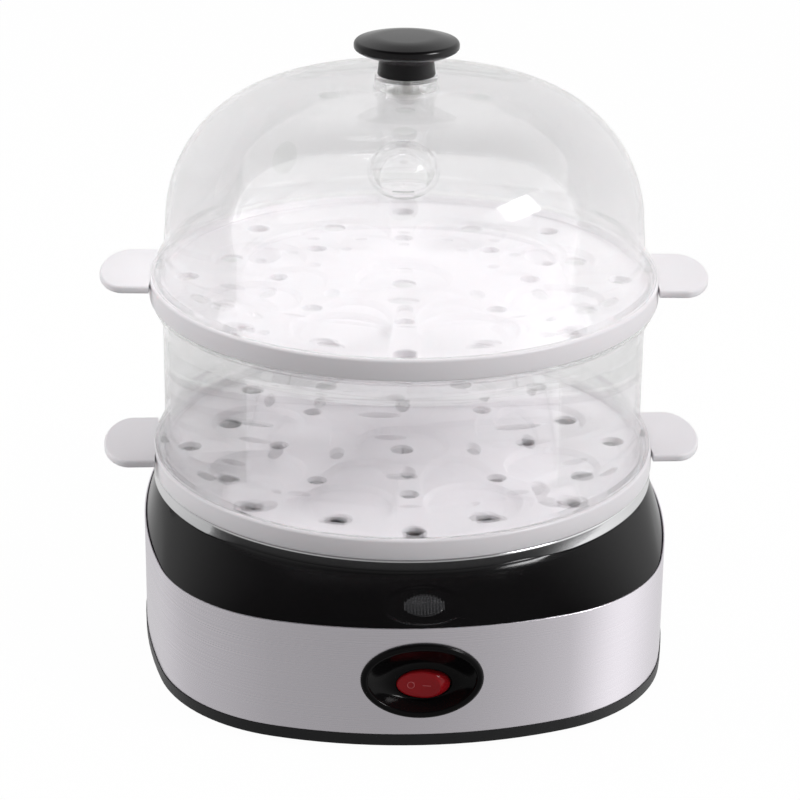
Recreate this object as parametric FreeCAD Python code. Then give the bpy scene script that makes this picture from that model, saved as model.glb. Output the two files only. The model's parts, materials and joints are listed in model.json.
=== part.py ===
import FreeCAD, Part
import math
import os

# Two-tier electric steam boiler. Millimetres, +Z up, the feet stand on z = 0.
# Everything is built round the stack's axis with the switch facing -Y, and then
# moved so that the origin lies under the middle of the whole outline.

# Plan of the base: four long arcs joined by four corner arcs
baseHalfWidth = 94.0
baseHalfDepth = 104.0
baseCentreY = -5.0
frontArcR = 148.0
sideArcR = 225.0
cornerArcR = 59.5

# Heights of the base
footHeight = 2.0
coverRimHeight = 3.9
bandHeight = 39.3
deckRise = 11.2
dishRimHeight = 4.8

# Shells of the base
coverFloor = 2.2
coverOverhang = 0.3
upstandHeight = 5.0
upstandWall = 1.8
bandWall = 0.6
bandLip = 0.4
housingWall = 2.2
deckTopR = 89.4
deckFlange = 1.8
fitGap = 0.05
assemblyGap = 0.3

# Heating dish and what heats it
dishRimR = 90.4
dishWallR = 83.6
dishSheet = 1.0
dishDepth = 14.0
dishCorner = 9.0
dishCentreR = 21.0
dishCentreRise = 1.0
gasketWidth = 2.4
heatPlateR = 50.0
heatPlateThick = 5.0
elementR = 38.0
elementTube = 6.6
elementGapDeg = 50.0
elementTail = 9.0
ceramicR = 2.4
ceramicLength = 5.0
tabWidth = 4.8
tabThick = 0.8
tabLength = 7.0
thermostatR = 8.2
thermostatHeight = 8.5
thermostatFlange = 2.5
thermostatStep = 1.4
thermostatTabInset = 3.2
strapLength = 40.0
strapWidth = 8.0
strapThick = 1.0
strapScrewInset = 4.0
strapScrewBite = 3.2
plateHoleDepth = 3.6
fuseR = 2.1
fuseLength = 11.0
fuseLead = 4.0
fuseLeadR = 0.6
fuseRowY = 20.0
fuseClipHalf = 2.6
fuseScrewGap = 8.5
clipWall = 0.8

# Studs that hold the dish on the housing's arms
studR = 2.0
studCircleR = 62.0
studAngles = (90.0, 210.0, 330.0)
studLength = 18.0
armThick = 3.0
armWidth = 14.0
armDrop = 8.0
nutAcross = 7.0
nutHeight = 3.2
washerR = 4.5
washerThick = 0.8

# Switch: bezel, rocker and body
bezelX = 0.0
bezelZ = 26.2
bezelHalfWidth = 20.6
bezelHalfHeight = 13.65
bezelProud = 1.6
bezelLip = 1.5
bezelLipWall = 0.9
bezelDepth = 5.0
bezelFloor = 3.4
bezelFloorHalfWidth = 12.8
bezelFloorHalfHeight = 8.4
rockerHalfLength = 8.9
rockerHalfHeight = 5.5
rockerGap = 0.35
rockerProud = 4.0
rockerDish = 0.9
rockerDrop = 3.2  # the rocker sits below the surround's centre
bezelFloorDrop = 2.2
rockerTilt = 10.0
rockerStem = 6.0
rockerPinR = 1.1
rockerPinReach = 2.1
rockerPinEndGap = 0.3
switchWall = 2.0
switchCavityDepth = 9.4
switchLength = 17.0
switchTabPitch = 7.0

# Lamp in the deck
lensHalfWidth = 7.2
lensHalfLength = 4.5
lensAlong = 0.36
lensProud = 1.1
lensFlange = 1.0
lensCrownR = 40.0
lensCrownHeight = 0.9
recessHalfWidth = 14.4
recessHalfLength = 7.7
recessDepth = 1.6
recessFloor = 1.8
recessLean = 2.2
lensRibs = 7
lensRibR = 0.45
neonR = 2.3
neonLength = 9.0
holderWall = 1.2
holderMargin = 0.6
holderSlotHalf = 1.6
neonLeadR = 0.35
neonLeadLength = 5.5

# Screws, feet and gland
pillarX = 62.0
pillarFrontY = -73.0
pillarRearY = 63.0
pillarR = 4.4
screwR = 1.6
screwHeadR = 3.4
screwHeadHeight = 2.2
screwBite = 14.0
screwCupR = 5.6
screwCupDepth = 4.4
screwCupFloor = 1.8
driveWidth = 1.0
driveDepth = 1.0
driveShare = 0.6
screwHeadRound = 0.8
screwTip = 1.2
footX = 58.0
footFrontY = -52.0
footRearY = 44.0
footR = 7.5
footStemR = 2.9
footHeadR = 4.2
footHeadHeight = 1.6
glandZ = 19.0
glandFlangeR = 8.0
glandFlangeThick = 2.4
glandSleeveR = 5.3
cordBoreR = 3.2
glandInside = 5.0
clampRearGap = 13.0
clampWidth = 28.0
clampLength = 8.0
clampBar = 3.0
clampScrewSpread = 10.0
blockLength = 26.0
blockWidth = 12.0
blockHeight = 9.0
blockY = 52.0
blockBoreR = 1.6
blockScrewR = 1.7
blockSlot = 1.0
blockSlotDepth = 3.0
blockPortDepth = 2.0
ventCount = 7
ventLength = 26.0
ventWidth = 3.0
ventPitch = 8.0
wireR = 1.1
leadBendShare = 0.45

# Trays: both tiers are the same moulding
trayRimR = 90.6
trayRimHeight = 7.4
trayRimWall = 2.4
trayPlateDrop = 3.4
trayPlateThick = 2.0
traySkirtWall = 1.3
traySkirtDrop = 3.0
traySkirtPlay = 0.5
cupCount = 8
cupCircleR = 57.0
cupR = 17.5
cupDepth = 2.2
cupTaper = 1.6
cupWall = 1.1
outerHoleR = 4.3
outerHoleCircleR = 77.3
cupHoleCircleR = 68.3
innerHoleR = 3.6
innerHoleCircleR = 45.0
earReach = 17.7
earHalfWidth = 20.6
earEndDepth = 10.0
earThick = 2.8
earDrop = 0.2
earRound = 0.9
lowerTrayTurn = -0.7
upperTrayTurn = -3.5

# Clear ring and clear lid
clearWall = 2.0
ringWallR = 86.0
ringHeight = 56.8
footFlareR = 89.8
footFlareHeight = 9.0
footEdge = 1.4
spigotDrop = 2.4
spigotWall = 1.6
flareRound = 8.0
lidBaseR = 85.3
lidShoulderR = 81.2
lidHeight = 67.2
lidCrownDrop = 1.4
lidShoulderArc = 47.0
bossR = 11.1
bossHeight = 4.3
ventBubbleR = 12.4
ventRimR = 10.8
ventLean = 53.5
ventTurn = -4.5
ventSlotWidth = 7.0
ventSlotHeight = 1.6
ventSlotDrop = 0.75
ventSlotForward = 0.62

# Knob
knobCapR = 18.4
knobCapHeight = 5.2
knobCrown = 1.1
knobNeckR = 10.2
knobNeckHeight = 7.4
knobEdge = 1.6
knobScrewR = 2.0
knobScrewReach = 9.0
knobWasherR = 7.0
knobWasherThick = 1.2
knobHeadHeight = 2.6
knobHeadShare = 1.9
knobDriveHalf = 2.2
knobDriveDepth = 1.4

# Levels worked out from the heights
coverBottomZ = footHeight
bandBottomZ = coverBottomZ + coverRimHeight
bandTopZ = bandBottomZ + bandHeight
deckEdgeZ = bandTopZ - bandLip
deckTopZ = bandTopZ + deckRise
dishTopZ = deckTopZ + dishRimHeight
dishFloorZ = dishTopZ - dishDepth
dishUnderZ = dishFloorZ - dishSheet
plateUnderZ = dishUnderZ - heatPlateThick
trayRestZ = dishTopZ
ringRestZ = trayRestZ + trayRimHeight
upperTrayRestZ = ringRestZ + ringHeight
lidRestZ = upperTrayRestZ + trayRimHeight
coverFloorZ = coverBottomZ + coverFloor
frontY = baseCentreY - baseHalfDepth
rearY = baseCentreY + baseHalfDepth
housingInset = bandWall + fitGap
cavityInset = housingInset + housingWall
dishHoleR = dishWallR + dishSheet + assemblyGap


def vec(x, y, z):
    return FreeCAD.Vector(x, y, z)


def polar(radius, degrees, z=0.0):
    angle = math.radians(degrees)
    return vec(radius * math.cos(angle), radius * math.sin(angle), z)


def moved(shape, offset):
    copy = shape.copy()
    copy.translate(offset)
    return copy


def turned(shape, degrees, centre=None, axis=None):
    copy = shape.copy()
    copy.rotate(centre or vec(0, 0, 0), axis or vec(0, 0, 1), degrees)
    return copy


def fuseAll(shapes):
    if len(shapes) == 1:
        return shapes[0]
    return shapes[0].multiFuse(shapes[1:]).removeSplitter()


def cutAll(shape, tools):
    return shape.cut(tools) if tools else shape


def box(x0, x1, y0, y1, z0, z1):
    return Part.makeBox(x1 - x0, y1 - y0, z1 - z0, vec(x0, y0, z0))


def cylinder(radius, z0, z1, x=0.0, y=0.0):
    return Part.makeCylinder(radius, z1 - z0, vec(x, y, z0))


def cylinderY(radius, y0, y1, x, z):
    return Part.makeCylinder(radius, y1 - y0, vec(x, y0, z), vec(0, 1, 0))


# A closed outline from corner points (u, v, radius), each rounded by a tangent arc
def roundedWire(corners, place):
    count = len(corners)
    edges = []
    lastEnd = None
    firstStart = None
    for index in range(count):
        u, v, radius = corners[index]
        pu, pv, _ = corners[index - 1]
        nu, nv, _ = corners[(index + 1) % count]
        inLength = math.hypot(pu - u, pv - v)
        outLength = math.hypot(nu - u, nv - v)
        iu, iv = (pu - u) / inLength, (pv - v) / inLength
        ou, ov = (nu - u) / outLength, (nv - v) / outLength
        cosine = max(-1.0, min(1.0, iu * ou + iv * ov))
        half = math.acos(cosine) / 2
        straight = half > math.radians(89.9)
        reach = 0.0 if radius <= 0 or straight else radius / math.tan(half)
        start = (u + iu * reach, v + iv * reach)
        end = (u + ou * reach, v + ov * reach)
        if lastEnd is None:
            firstStart = start
        elif math.dist(lastEnd, start) > 1e-6:
            edges.append(Part.LineSegment(place(*lastEnd), place(*start)).toShape())
        if reach > 0:
            bu, bv = iu + ou, iv + ov
            size = math.hypot(bu, bv)
            toMiddle = radius / math.sin(half) - radius
            middle = (u + bu / size * toMiddle, v + bv / size * toMiddle)
            edges.append(Part.Arc(place(*start), place(*middle), place(*end)).toShape())
        lastEnd = end
    if math.dist(lastEnd, firstStart) > 1e-6:
        edges.append(Part.LineSegment(place(*lastEnd), place(*firstStart)).toShape())
    return Part.Wire(edges)


def revolved(corners):
    wire = roundedWire(corners, lambda r, z: vec(r, 0, z))
    return Part.Face(wire).revolve(vec(0, 0, 0), vec(0, 0, 1), 360)


def extrudedZ(corners, z0, z1):
    wire = roundedWire(corners, lambda x, y: vec(x, y, z0))
    return Part.Face(wire).extrude(vec(0, 0, z1 - z0))


# Where the front arc, the corner arc and the side arc of the base meet, right half
def baseArcs():
    frontCentre = (0.0, baseCentreY - baseHalfDepth + frontArcR)
    sideCentre = (baseHalfWidth - sideArcR, baseCentreY)
    toFront = frontArcR - cornerArcR
    toSide = sideArcR - cornerArcR
    du = sideCentre[0] - frontCentre[0]
    dv = sideCentre[1] - frontCentre[1]
    between = math.hypot(du, dv)
    along = (toFront ** 2 - toSide ** 2 + between ** 2) / (2 * between)
    across = math.sqrt(toFront ** 2 - along ** 2)
    u, v = du / between, dv / between
    corner = (frontCentre[0] + u * along - v * across, frontCentre[1] + v * along + u * across)
    frontAngle = math.atan2(corner[1] - frontCentre[1], corner[0] - frontCentre[0])
    sideAngle = math.atan2(corner[1] - sideCentre[1], corner[0] - sideCentre[0])
    return frontCentre, sideCentre, corner, frontAngle, sideAngle


def arcEdge(centre, radius, start, end, z):
    middle = (start + end) / 2
    points = [vec(centre[0] + radius * math.cos(a), centre[1] + radius * math.sin(a), z)
              for a in (start, middle, end)]
    return Part.Arc(*points).toShape()


# The eight arcs of the base outline, drawn in by inset, at height z
def baseWire(inset, z):
    front, side, corner, frontAngle, sideAngle = baseArcs()
    mirror = 2 * baseCentreY
    quarter = math.pi / 2
    edges = [
        arcEdge(front, frontArcR - inset, -2 * quarter - frontAngle, frontAngle, z),
        arcEdge(corner, cornerArcR - inset, frontAngle, sideAngle, z),
        arcEdge(side, sideArcR - inset, sideAngle, -sideAngle, z),
        arcEdge((corner[0], mirror - corner[1]), cornerArcR - inset, -sideAngle, -frontAngle, z),
        arcEdge((0, mirror - front[1]), frontArcR - inset, -frontAngle, 2 * quarter + frontAngle, z),
        arcEdge((-corner[0], mirror - corner[1]), cornerArcR - inset,
                2 * quarter + frontAngle, 2 * quarter + sideAngle, z),
        arcEdge((-side[0], side[1]), sideArcR - inset, 2 * quarter + sideAngle, 2 * quarter - sideAngle, z),
        arcEdge((-corner[0], corner[1]), cornerArcR - inset,
                2 * quarter - sideAngle, 2 * quarter - frontAngle, z),
    ]
    return Part.Wire(edges)


# A circle cut into eight arcs at the directions where the base outline changes
def splitCircle(radius, z):
    frontAngle, sideAngle = baseArcs()[3:]
    half = math.pi
    breaks = [-half - frontAngle, frontAngle, sideAngle, -sideAngle, -frontAngle,
              half + frontAngle, half + sideAngle, half - sideAngle, half - frontAngle]
    return Part.Wire([arcEdge((0, 0), radius, a, b, z) for a, b in zip(breaks, breaks[1:])])


def basePrism(inset, z0, z1):
    return Part.Face(baseWire(inset, z0)).extrude(vec(0, 0, z1 - z0))


def deckLoft(inset, z0, radius, z1):
    return Part.makeLoft([baseWire(inset, z0), splitCircle(radius, z1)], True, True)


# An upright ellipse facing the front, pushed back from y0 to y1
def ovalWire(halfWidth, halfHeight, y, drop=0):
    ellipse = Part.Ellipse(vec(0, 0, 0), halfWidth, halfHeight)
    wire = Part.Wire([ellipse.toShape()])
    wire.rotate(vec(0, 0, 0), vec(1, 0, 0), 90)
    wire.translate(vec(bezelX, y, bezelZ - drop))
    return wire


def ovalPrism(halfWidth, halfHeight, y0, y1, drop=0):
    return Part.Face(ovalWire(halfWidth, halfHeight, y0, drop)).extrude(vec(0, y1 - y0, 0))


# Height of the rocker's middle, its window and the switch body behind it
def rockerZ():
    return bezelZ - rockerDrop


# The slope of the deck at the front, and a frame on it for the lamp
def deckPoint(share):
    edgeY = frontY + housingInset
    topY = -deckTopR
    return vec(0, edgeY + (topY - edgeY) * share, deckEdgeZ + (deckTopZ - deckEdgeZ) * share)


def deckSlope():
    line = deckPoint(1).sub(deckPoint(0))
    return math.degrees(math.atan2(line.z, line.y))


def onDeck(shape):
    tilted = turned(shape, deckSlope(), axis=vec(1, 0, 0))
    return moved(tilted, deckPoint(lensAlong))


def deckOval(halfWidth, halfLength, z0, z1):
    ellipse = Part.Ellipse(vec(0, 0, z0), halfWidth, halfLength)
    return Part.Face(Part.Wire([ellipse.toShape()])).extrude(vec(0, 0, z1 - z0))


def pillarPlaces():
    return [(sign * pillarX, y) for sign in (-1, 1) for y in (pillarFrontY, pillarRearY)]


def footPlaces():
    return [(sign * footX, y) for sign in (-1, 1) for y in (footFrontY, footRearY)]


def clampScrewPlaces():
    y = rearY - clampRearGap
    return [(sign * clampScrewSpread, y) for sign in (-1, 1)]


def screwCupTopZ():
    return coverBottomZ + screwCupDepth + screwCupFloor


def clampTopZ():
    return glandZ + cordBoreR + clampBar


def clampPedestalZ():
    return glandZ - cordBoreR


# A screw standing on its head, head underside at z, shank going up or down by reach
def panScrew(x, y, z, reach, up=True):
    low = z - screwHeadHeight
    head = revolved([(0, low, 0), (screwHeadR, low, screwHeadRound), (screwHeadR, z, 0), (0, z, 0)])
    half = screwHeadR * driveShare
    for across in (0, 90):
        slot = box(-half, half, -driveWidth / 2, driveWidth / 2, low, low + driveDepth)
        head = head.cut(turned(slot, across))
    shankTop = z + reach - screwTip
    tip = Part.makeCone(screwR, screwR / 2, screwTip, vec(0, 0, shankTop))
    screw = fuseAll([head, cylinder(screwR, z - 0.5, shankTop), tip])
    if not up:
        screw = turned(moved(screw, vec(0, 0, -z)), 180, axis=vec(1, 0, 0))
        screw = moved(screw, vec(0, 0, z))
    return moved(screw, vec(x, y, 0))


# A lead with straight runs and tangent arcs, as large as its two runs allow
def leadTube(name, points, radius):
    edges = []
    last = points[0]
    for before, here, after in zip(points, points[1:], points[2:]):
        inward = before.sub(here)
        outward = after.sub(here)
        half = inward.getAngle(outward) / 2
        reach = leadBendShare * min(inward.Length, outward.Length)
        inward.normalize()
        outward.normalize()
        start = here.add(vec(*inward).multiply(reach))
        end = here.add(vec(*outward).multiply(reach))
        bend = reach * math.tan(half)
        bisector = vec(*inward).add(outward).normalize()
        middle = here.add(bisector.multiply(bend / math.sin(half) - bend))
        edges.append(Part.LineSegment(last, start).toShape())
        edges.append(Part.Arc(start, middle, end).toShape())
        last = end
    edges.append(Part.LineSegment(last, points[-1]).toShape())
    path = Part.Wire(edges)
    along = points[1].sub(points[0]).normalize()
    section = Part.Wire([Part.makeCircle(radius, points[0], along)])
    tube = path.makePipeShell([section], True, False)
    expected = math.pi * radius ** 2 * path.Length
    print(name, "lead volume over section times length", round(tube.Volume / expected, 4))
    return tube


def makeBand():
    band = basePrism(0, bandBottomZ, bandTopZ).cut(basePrism(bandWall, bandBottomZ, bandTopZ))
    window = ovalPrism(bezelHalfWidth - bezelLip, bezelHalfHeight - bezelLip, frontY - 5, frontY + 20)
    glandHole = cylinderY(glandSleeveR + fitGap, rearY - 10, rearY + 5, 0, glandZ)
    return cutAll(band, [window, glandHole])


def housingHull(z0):
    skirt = basePrism(housingInset, z0, deckEdgeZ)
    return skirt.fuse(deckLoft(housingInset, deckEdgeZ, deckTopR, deckTopZ))


def armBottomZ():
    return dishUnderZ - armDrop - armThick


def makeHousing():
    hull = housingHull(bandBottomZ)
    cavityTop = deckEdgeZ - deckFlange
    cavity = basePrism(cavityInset, bandBottomZ - 1, cavityTop)
    cavity = cavity.fuse(deckLoft(cavityInset, cavityTop, deckTopR - housingWall, deckTopZ - deckFlange))
    shell = hull.cut(cavity)
    arms = []
    for angle in studAngles:
        arm = box(studCircleR - armWidth / 2, baseHalfDepth + 20, -armWidth / 2, armWidth / 2,
                  armBottomZ(), armBottomZ() + armThick)
        rib = box(studCircleR + armWidth / 2, baseHalfDepth + 20, -housingWall / 2, housingWall / 2,
                  armBottomZ() - armThick * 2, armBottomZ())
        arms.append(turned(arm.fuse(rib), angle))
    pillars = [cylinder(pillarR, screwCupTopZ(), deckTopZ, x, y) for x, y in pillarPlaces()]
    lampSeat = onDeck(deckOval(recessHalfWidth + 2, recessHalfLength + 1.2, -recessDepth - recessFloor, 3))
    inner = fuseAll(arms + pillars + [lampSeat]).common(hull)
    shell = shell.fuse(inner)
    cuts = [cylinder(dishHoleR, dishFloorZ - 8, deckTopZ + 1)]
    cuts.append(ovalPrism(bezelHalfWidth - bezelLip, bezelHalfHeight - bezelLip, frontY - 5, frontY + 20))
    cuts.append(cylinderY(glandSleeveR + fitGap, rearY - 10, rearY + 5, 0, glandZ))
    cuts.append(onDeck(recessTool()))
    cuts.append(onDeck(deckOval(lensHalfWidth + fitGap, lensHalfLength + fitGap, -12, 5)))
    for x, y in pillarPlaces():
        cuts.append(cylinder(screwR + fitGap, screwCupTopZ() - 1, screwCupTopZ() + screwBite, x, y))
    for angle in studAngles:
        place = polar(studCircleR, angle)
        low = armBottomZ()
        cuts.append(cylinder(studR + assemblyGap, low - 10, low + armThick + 1, place.x, place.y))
    return cutAll(shell, cuts).removeSplitter()


# The oval hollow round the lamp: flat floor, sides leaning out
def recessTool():
    above = recessDepth / 2
    spread = recessLean * above / recessDepth
    outlines = []
    for z, grow in ((-recessDepth, -recessLean), (above, spread)):
        ellipse = Part.Ellipse(vec(0, 0, z), recessHalfWidth + grow, recessHalfLength + grow)
        outlines.append(Part.Wire([ellipse.toShape()]))
    return Part.makeLoft(outlines, True, True)


def makeCover():
    rim = basePrism(-coverOverhang, coverBottomZ, bandBottomZ)
    upstandInset = cavityInset + assemblyGap
    upstand = basePrism(upstandInset, coverBottomZ + 0.5, bandBottomZ + upstandHeight)
    hollow = basePrism(upstandInset + upstandWall, coverFloorZ, bandBottomZ + upstandHeight + 1)
    cover = rim.fuse(upstand).cut(hollow)
    additions = [cylinder(screwCupR, coverBottomZ + 0.5, screwCupTopZ(), x, y) for x, y in pillarPlaces()]
    clampY = rearY - clampRearGap
    additions.append(box(-clampWidth / 2, clampWidth / 2, clampY - clampLength / 2, clampY + clampLength / 2,
                         coverBottomZ + 0.5, clampPedestalZ()))
    cover = cover.multiFuse(additions)
    cuts = []
    for x, y in pillarPlaces():
        cuts.append(cylinder(screwHeadR + 0.8, coverBottomZ - 1, coverBottomZ + screwCupDepth, x, y))
        cuts.append(cylinder(screwR + assemblyGap, coverBottomZ, screwCupTopZ() + 1, x, y))
    for x, y in footPlaces():
        cuts.append(cylinder(footStemR + fitGap, coverBottomZ - 1, coverFloorZ + 1, x, y))
    for x, y in clampScrewPlaces():
        cuts.append(cylinder(screwR + fitGap, coverFloorZ, clampPedestalZ() + 1, x, y))
    first = -(ventCount - 1) / 2 * ventPitch
    for index in range(ventCount):
        x = first + index * ventPitch
        half = ventWidth / 2
        end = ventLength / 2
        rounding = half * 0.95
        corners = [(x - half, -end, rounding), (x + half, -end, rounding),
                   (x + half, end, rounding), (x - half, end, rounding)]
        cuts.append(extrudedZ(corners, coverBottomZ - 1, coverFloorZ + 1))
    return cutAll(cover, cuts).removeSplitter()


def makeFeet():
    solids = []
    headTop = coverFloorZ + footHeadHeight
    for x, y in footPlaces():
        pad = revolved([(0, 0, 0), (footR, 0, 0.6), (footR, footHeight, 0), (footStemR, footHeight, 0),
                        (footStemR, coverFloorZ, 0), (footHeadR, coverFloorZ, 0),
                        (footStemR, headTop, 0), (0, headTop, 0)])
        solids.append(moved(pad, vec(x, y, 0)))
    return Part.makeCompound(solids)


def makeCoverScrews():
    headZ = coverBottomZ + screwCupDepth
    reach = screwCupFloor + screwBite - 2
    return Part.makeCompound([panScrew(x, y, headZ, reach) for x, y in pillarPlaces()])


def makeDish():
    sheet = dishSheet
    top = dishTopZ
    corners = [
        (dishRimR, deckTopZ, 0),
        (dishRimR, top, 1.4),
        (dishWallR, top, 0.9),
        (dishWallR, dishFloorZ, dishCorner),
        (dishCentreR + 2, dishFloorZ, 0.8),
        (dishCentreR, dishFloorZ + dishCentreRise, 0.8),
        (0, dishFloorZ + dishCentreRise, 0),
        (0, dishUnderZ, 0),
        (dishWallR + sheet, dishUnderZ, dishCorner + sheet),
        (dishWallR + sheet, top - sheet, 0.5),
        (dishRimR - sheet, top - sheet, 0.5),
        (dishRimR - sheet, deckTopZ, 0),
    ]
    return revolved(corners)


def makeGasket():
    inner = dishWallR + dishSheet + assemblyGap * 2
    top = dishTopZ - dishSheet
    return revolved([(inner, deckTopZ, 0.4), (inner + gasketWidth, deckTopZ, 0.4),
                     (inner + gasketWidth, top, 0.4), (inner, top, 0.4)])


# The element runs round the plate and ends in two upright tails
def makeElement():
    half = elementGapDeg / 2
    start = polar(elementR, -90 + half, plateUnderZ)
    end = polar(elementR, -90 - half, plateUnderZ)
    arc = Part.Arc(start, polar(elementR, 90, plateUnderZ), end).toShape()
    tailStart = start.add(vec(0, 0, -elementTube * 0.5 - elementTail))
    path = Part.Wire([arc])
    tangent = polar(1, half)
    section = Part.Wire([Part.makeCircle(elementTube / 2, start, tangent)])
    ring = path.makePipeShell([section], True, False)
    tails = []
    for place in (start, end):
        tails.append(cylinder(elementTube / 2, tailStart.z, place.z, place.x, place.y))
        tails.append(Part.makeSphere(elementTube / 2, place))
    return fuseAll([ring] + tails)


def elementEnds():
    half = elementGapDeg / 2
    low = plateUnderZ - elementTube * 0.5 - elementTail
    return [polar(elementR, -90 + half, low), polar(elementR, -90 - half, low)]


def makeElementTerminals():
    solids = []
    for place in elementEnds():
        bead = cylinder(ceramicR, place.z - ceramicLength, place.z, place.x, place.y)
        root = place.z - ceramicLength
        tab = box(-tabWidth / 2, tabWidth / 2, -tabThick / 2, tabThick / 2, root - tabLength, root + 1)
        solids.append(bead.fuse(moved(tab, vec(place.x, place.y, 0))))
    return Part.makeCompound(solids)


def makeHeatPlate():
    plate = cylinder(heatPlateR, plateUnderZ, dishUnderZ)
    groove = Part.makeTorus(elementR, elementTube / 2 + fitGap, vec(0, 0, plateUnderZ))
    cuts = [groove]
    for x, y in [(x, 0) for x in strapScrewX()] + [(0, fuseScrewY())]:
        cuts.append(cylinder(screwR + fitGap, plateUnderZ - 1, plateUnderZ + plateHoleDepth, x, y))
    return cutAll(plate, cuts)


def makeThermostat():
    flangeZ = plateUnderZ - thermostatFlange
    low = plateUnderZ - thermostatHeight
    caseR = thermostatR - thermostatStep
    body = revolved([(0, plateUnderZ, 0), (thermostatR, plateUnderZ, 0.4), (thermostatR, flangeZ, 0),
                     (caseR, flangeZ, 0), (caseR, low, 0.6), (0, low, 0)])
    tabs = []
    for side in (-1, 1):
        y = side * (thermostatR - thermostatTabInset)
        tabs.append(box(-tabWidth / 2, tabWidth / 2, y - tabThick / 2, y + tabThick / 2,
                        low - tabLength, low + 0.5))
    return fuseAll([body] + tabs)


# Strap that goes under the thermostat's flange and up to the heat plate
def makeStrap():
    half = strapLength / 2
    flangeZ = plateUnderZ - thermostatFlange
    underZ = plateUnderZ - strapThick
    bottomZ = flangeZ - strapThick
    step = thermostatR + 1.0
    outerStep = step + strapThick
    corners = [
        (-half, plateUnderZ, 0), (-step, plateUnderZ, 0.3), (-step, flangeZ, 0.3), (step, flangeZ, 0.3),
        (step, plateUnderZ, 0.3), (half, plateUnderZ, 0), (half, underZ, 0), (outerStep, underZ, 0.3),
        (outerStep, bottomZ, 1.0), (-outerStep, bottomZ, 1.0), (-outerStep, underZ, 0.3), (-half, underZ, 0),
    ]
    wire = roundedWire(corners, lambda x, z: vec(x, -strapWidth / 2, z))
    strap = Part.Face(wire).extrude(vec(0, strapWidth, 0))
    strap = strap.fuse(cylinder(thermostatR, bottomZ, flangeZ))
    cuts = [cylinder(thermostatR - thermostatStep + fitGap, bottomZ - strapThick, flangeZ + 0.1)]
    cuts += [cylinder(screwR + assemblyGap, plateUnderZ - 5, plateUnderZ + 1, x, 0) for x in strapScrewX()]
    return cutAll(strap, cuts)


def strapScrewX():
    return [side * (strapLength / 2 - strapScrewInset) for side in (-1, 1)]


def makeStrapScrews():
    screws = [panScrew(x, 0, plateUnderZ - strapThick, strapThick + strapScrewBite) for x in strapScrewX()]
    screws.append(panScrew(0, fuseScrewY(), plateUnderZ - clipWall, clipWall + strapScrewBite))
    return Part.makeCompound(screws)


def fuseAxisZ():
    return plateUnderZ - fuseR - fitGap - clipWall / 2


def fuseScrewY():
    return fuseRowY + fuseScrewGap


def alongX(radius, x0, x1, y, z):
    return Part.makeCylinder(radius, x1 - x0, vec(x0, y, z), vec(1, 0, 0))


def makeFuse():
    half = fuseLength / 2
    body = alongX(fuseR, -half, half, fuseRowY, fuseAxisZ())
    leads = alongX(fuseLeadR, -half - fuseLead, half + fuseLead, fuseRowY, fuseAxisZ())
    return body.fuse(leads)


# Sheet clip round the fuse with one ear screwed to the heat plate
def makeFuseClip():
    half = fuseClipHalf
    outer = fuseR + fitGap * 2 + clipWall
    sleeve = alongX(outer, -half, half, fuseRowY, fuseAxisZ())
    sleeve = sleeve.common(box(-half, half, fuseRowY - 10, fuseRowY + 10, fuseAxisZ() - 10, plateUnderZ))
    ear = box(-screwHeadR - 0.6, screwHeadR + 0.6, fuseRowY + fuseR, fuseScrewY() + screwR + 1.2,
              plateUnderZ - clipWall, plateUnderZ)
    bore = alongX(fuseR + fitGap, -half * 2, half * 2, fuseRowY, fuseAxisZ())
    hole = cylinder(screwR + assemblyGap, plateUnderZ - 5, plateUnderZ + 1, 0, fuseScrewY())
    return sleeve.fuse(ear).cut([bore, hole])


def makeStuds():
    return Part.makeCompound([cylinder(studR, dishUnderZ - studLength, dishUnderZ, p.x, p.y)
                              for p in (polar(studCircleR, a) for a in studAngles)])


def hexPrism(across, z0, z1):
    corner = across / math.sqrt(3)
    points = [polar(corner, 30 + 60 * k, z0) for k in range(7)]
    return Part.Face(Part.makePolygon(points)).extrude(vec(0, 0, z1 - z0))


def makeNuts():
    solids = []
    low = armBottomZ()
    for angle in studAngles:
        place = polar(studCircleR, angle)
        washer = cylinder(washerR, low - washerThick, low)
        nut = hexPrism(nutAcross, low - washerThick - nutHeight, low - washerThick)
        bore = cylinder(studR + fitGap, low - 10, low + 1)
        solids.append(moved(fuseAll([washer, nut]).cut(bore), place))
    return Part.makeCompound(solids)


def bezelFloorFrontY():
    return frontY + bezelDepth


# Oval switch surround: lip on the band, cup through the wall, floor with the rocker's window
def makeBezel():
    outside = basePrism(-bezelProud, bandBottomZ, bandTopZ)
    lip = ovalPrism(bezelHalfWidth, bezelHalfHeight, frontY - 6, frontY + 6).common(outside)
    lip = lip.cut(basePrism(0, bandBottomZ, bandTopZ))
    floorY = bezelFloorFrontY()
    cupWide = bezelHalfWidth - bezelLip - fitGap
    cupTall = bezelHalfHeight - bezelLip - fitGap
    cup = ovalPrism(cupWide, cupTall, frontY - 6, floorY + bezelFloor).common(outside)
    body = lip.fuse(cup)
    wide = bezelHalfWidth - bezelLip - bezelLipWall
    tall = bezelHalfHeight - bezelLip - bezelLipWall
    front = ovalWire(wide + 0.8, tall + 0.8, frontY - bezelProud - 1)
    back = ovalWire(bezelFloorHalfWidth, bezelFloorHalfHeight, floorY, bezelFloorDrop)
    dish = Part.makeLoft([front, back], True, True)
    window = ovalPrism(rockerHalfLength + rockerGap, rockerHalfHeight + rockerGap,
                       floorY - 1, floorY + bezelFloor + 1, rockerDrop)
    pinEnd = rockerHalfHeight + rockerPinReach + rockerPinEndGap
    pinBore = cylinder(rockerPinR + fitGap, rockerZ() - pinEnd, rockerZ() + pinEnd, bezelX, rockerPivotY())
    return body.cut([dish, window, pinBore])


def rockerPivotY():
    return bezelFloorFrontY() + bezelFloor / 2


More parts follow.
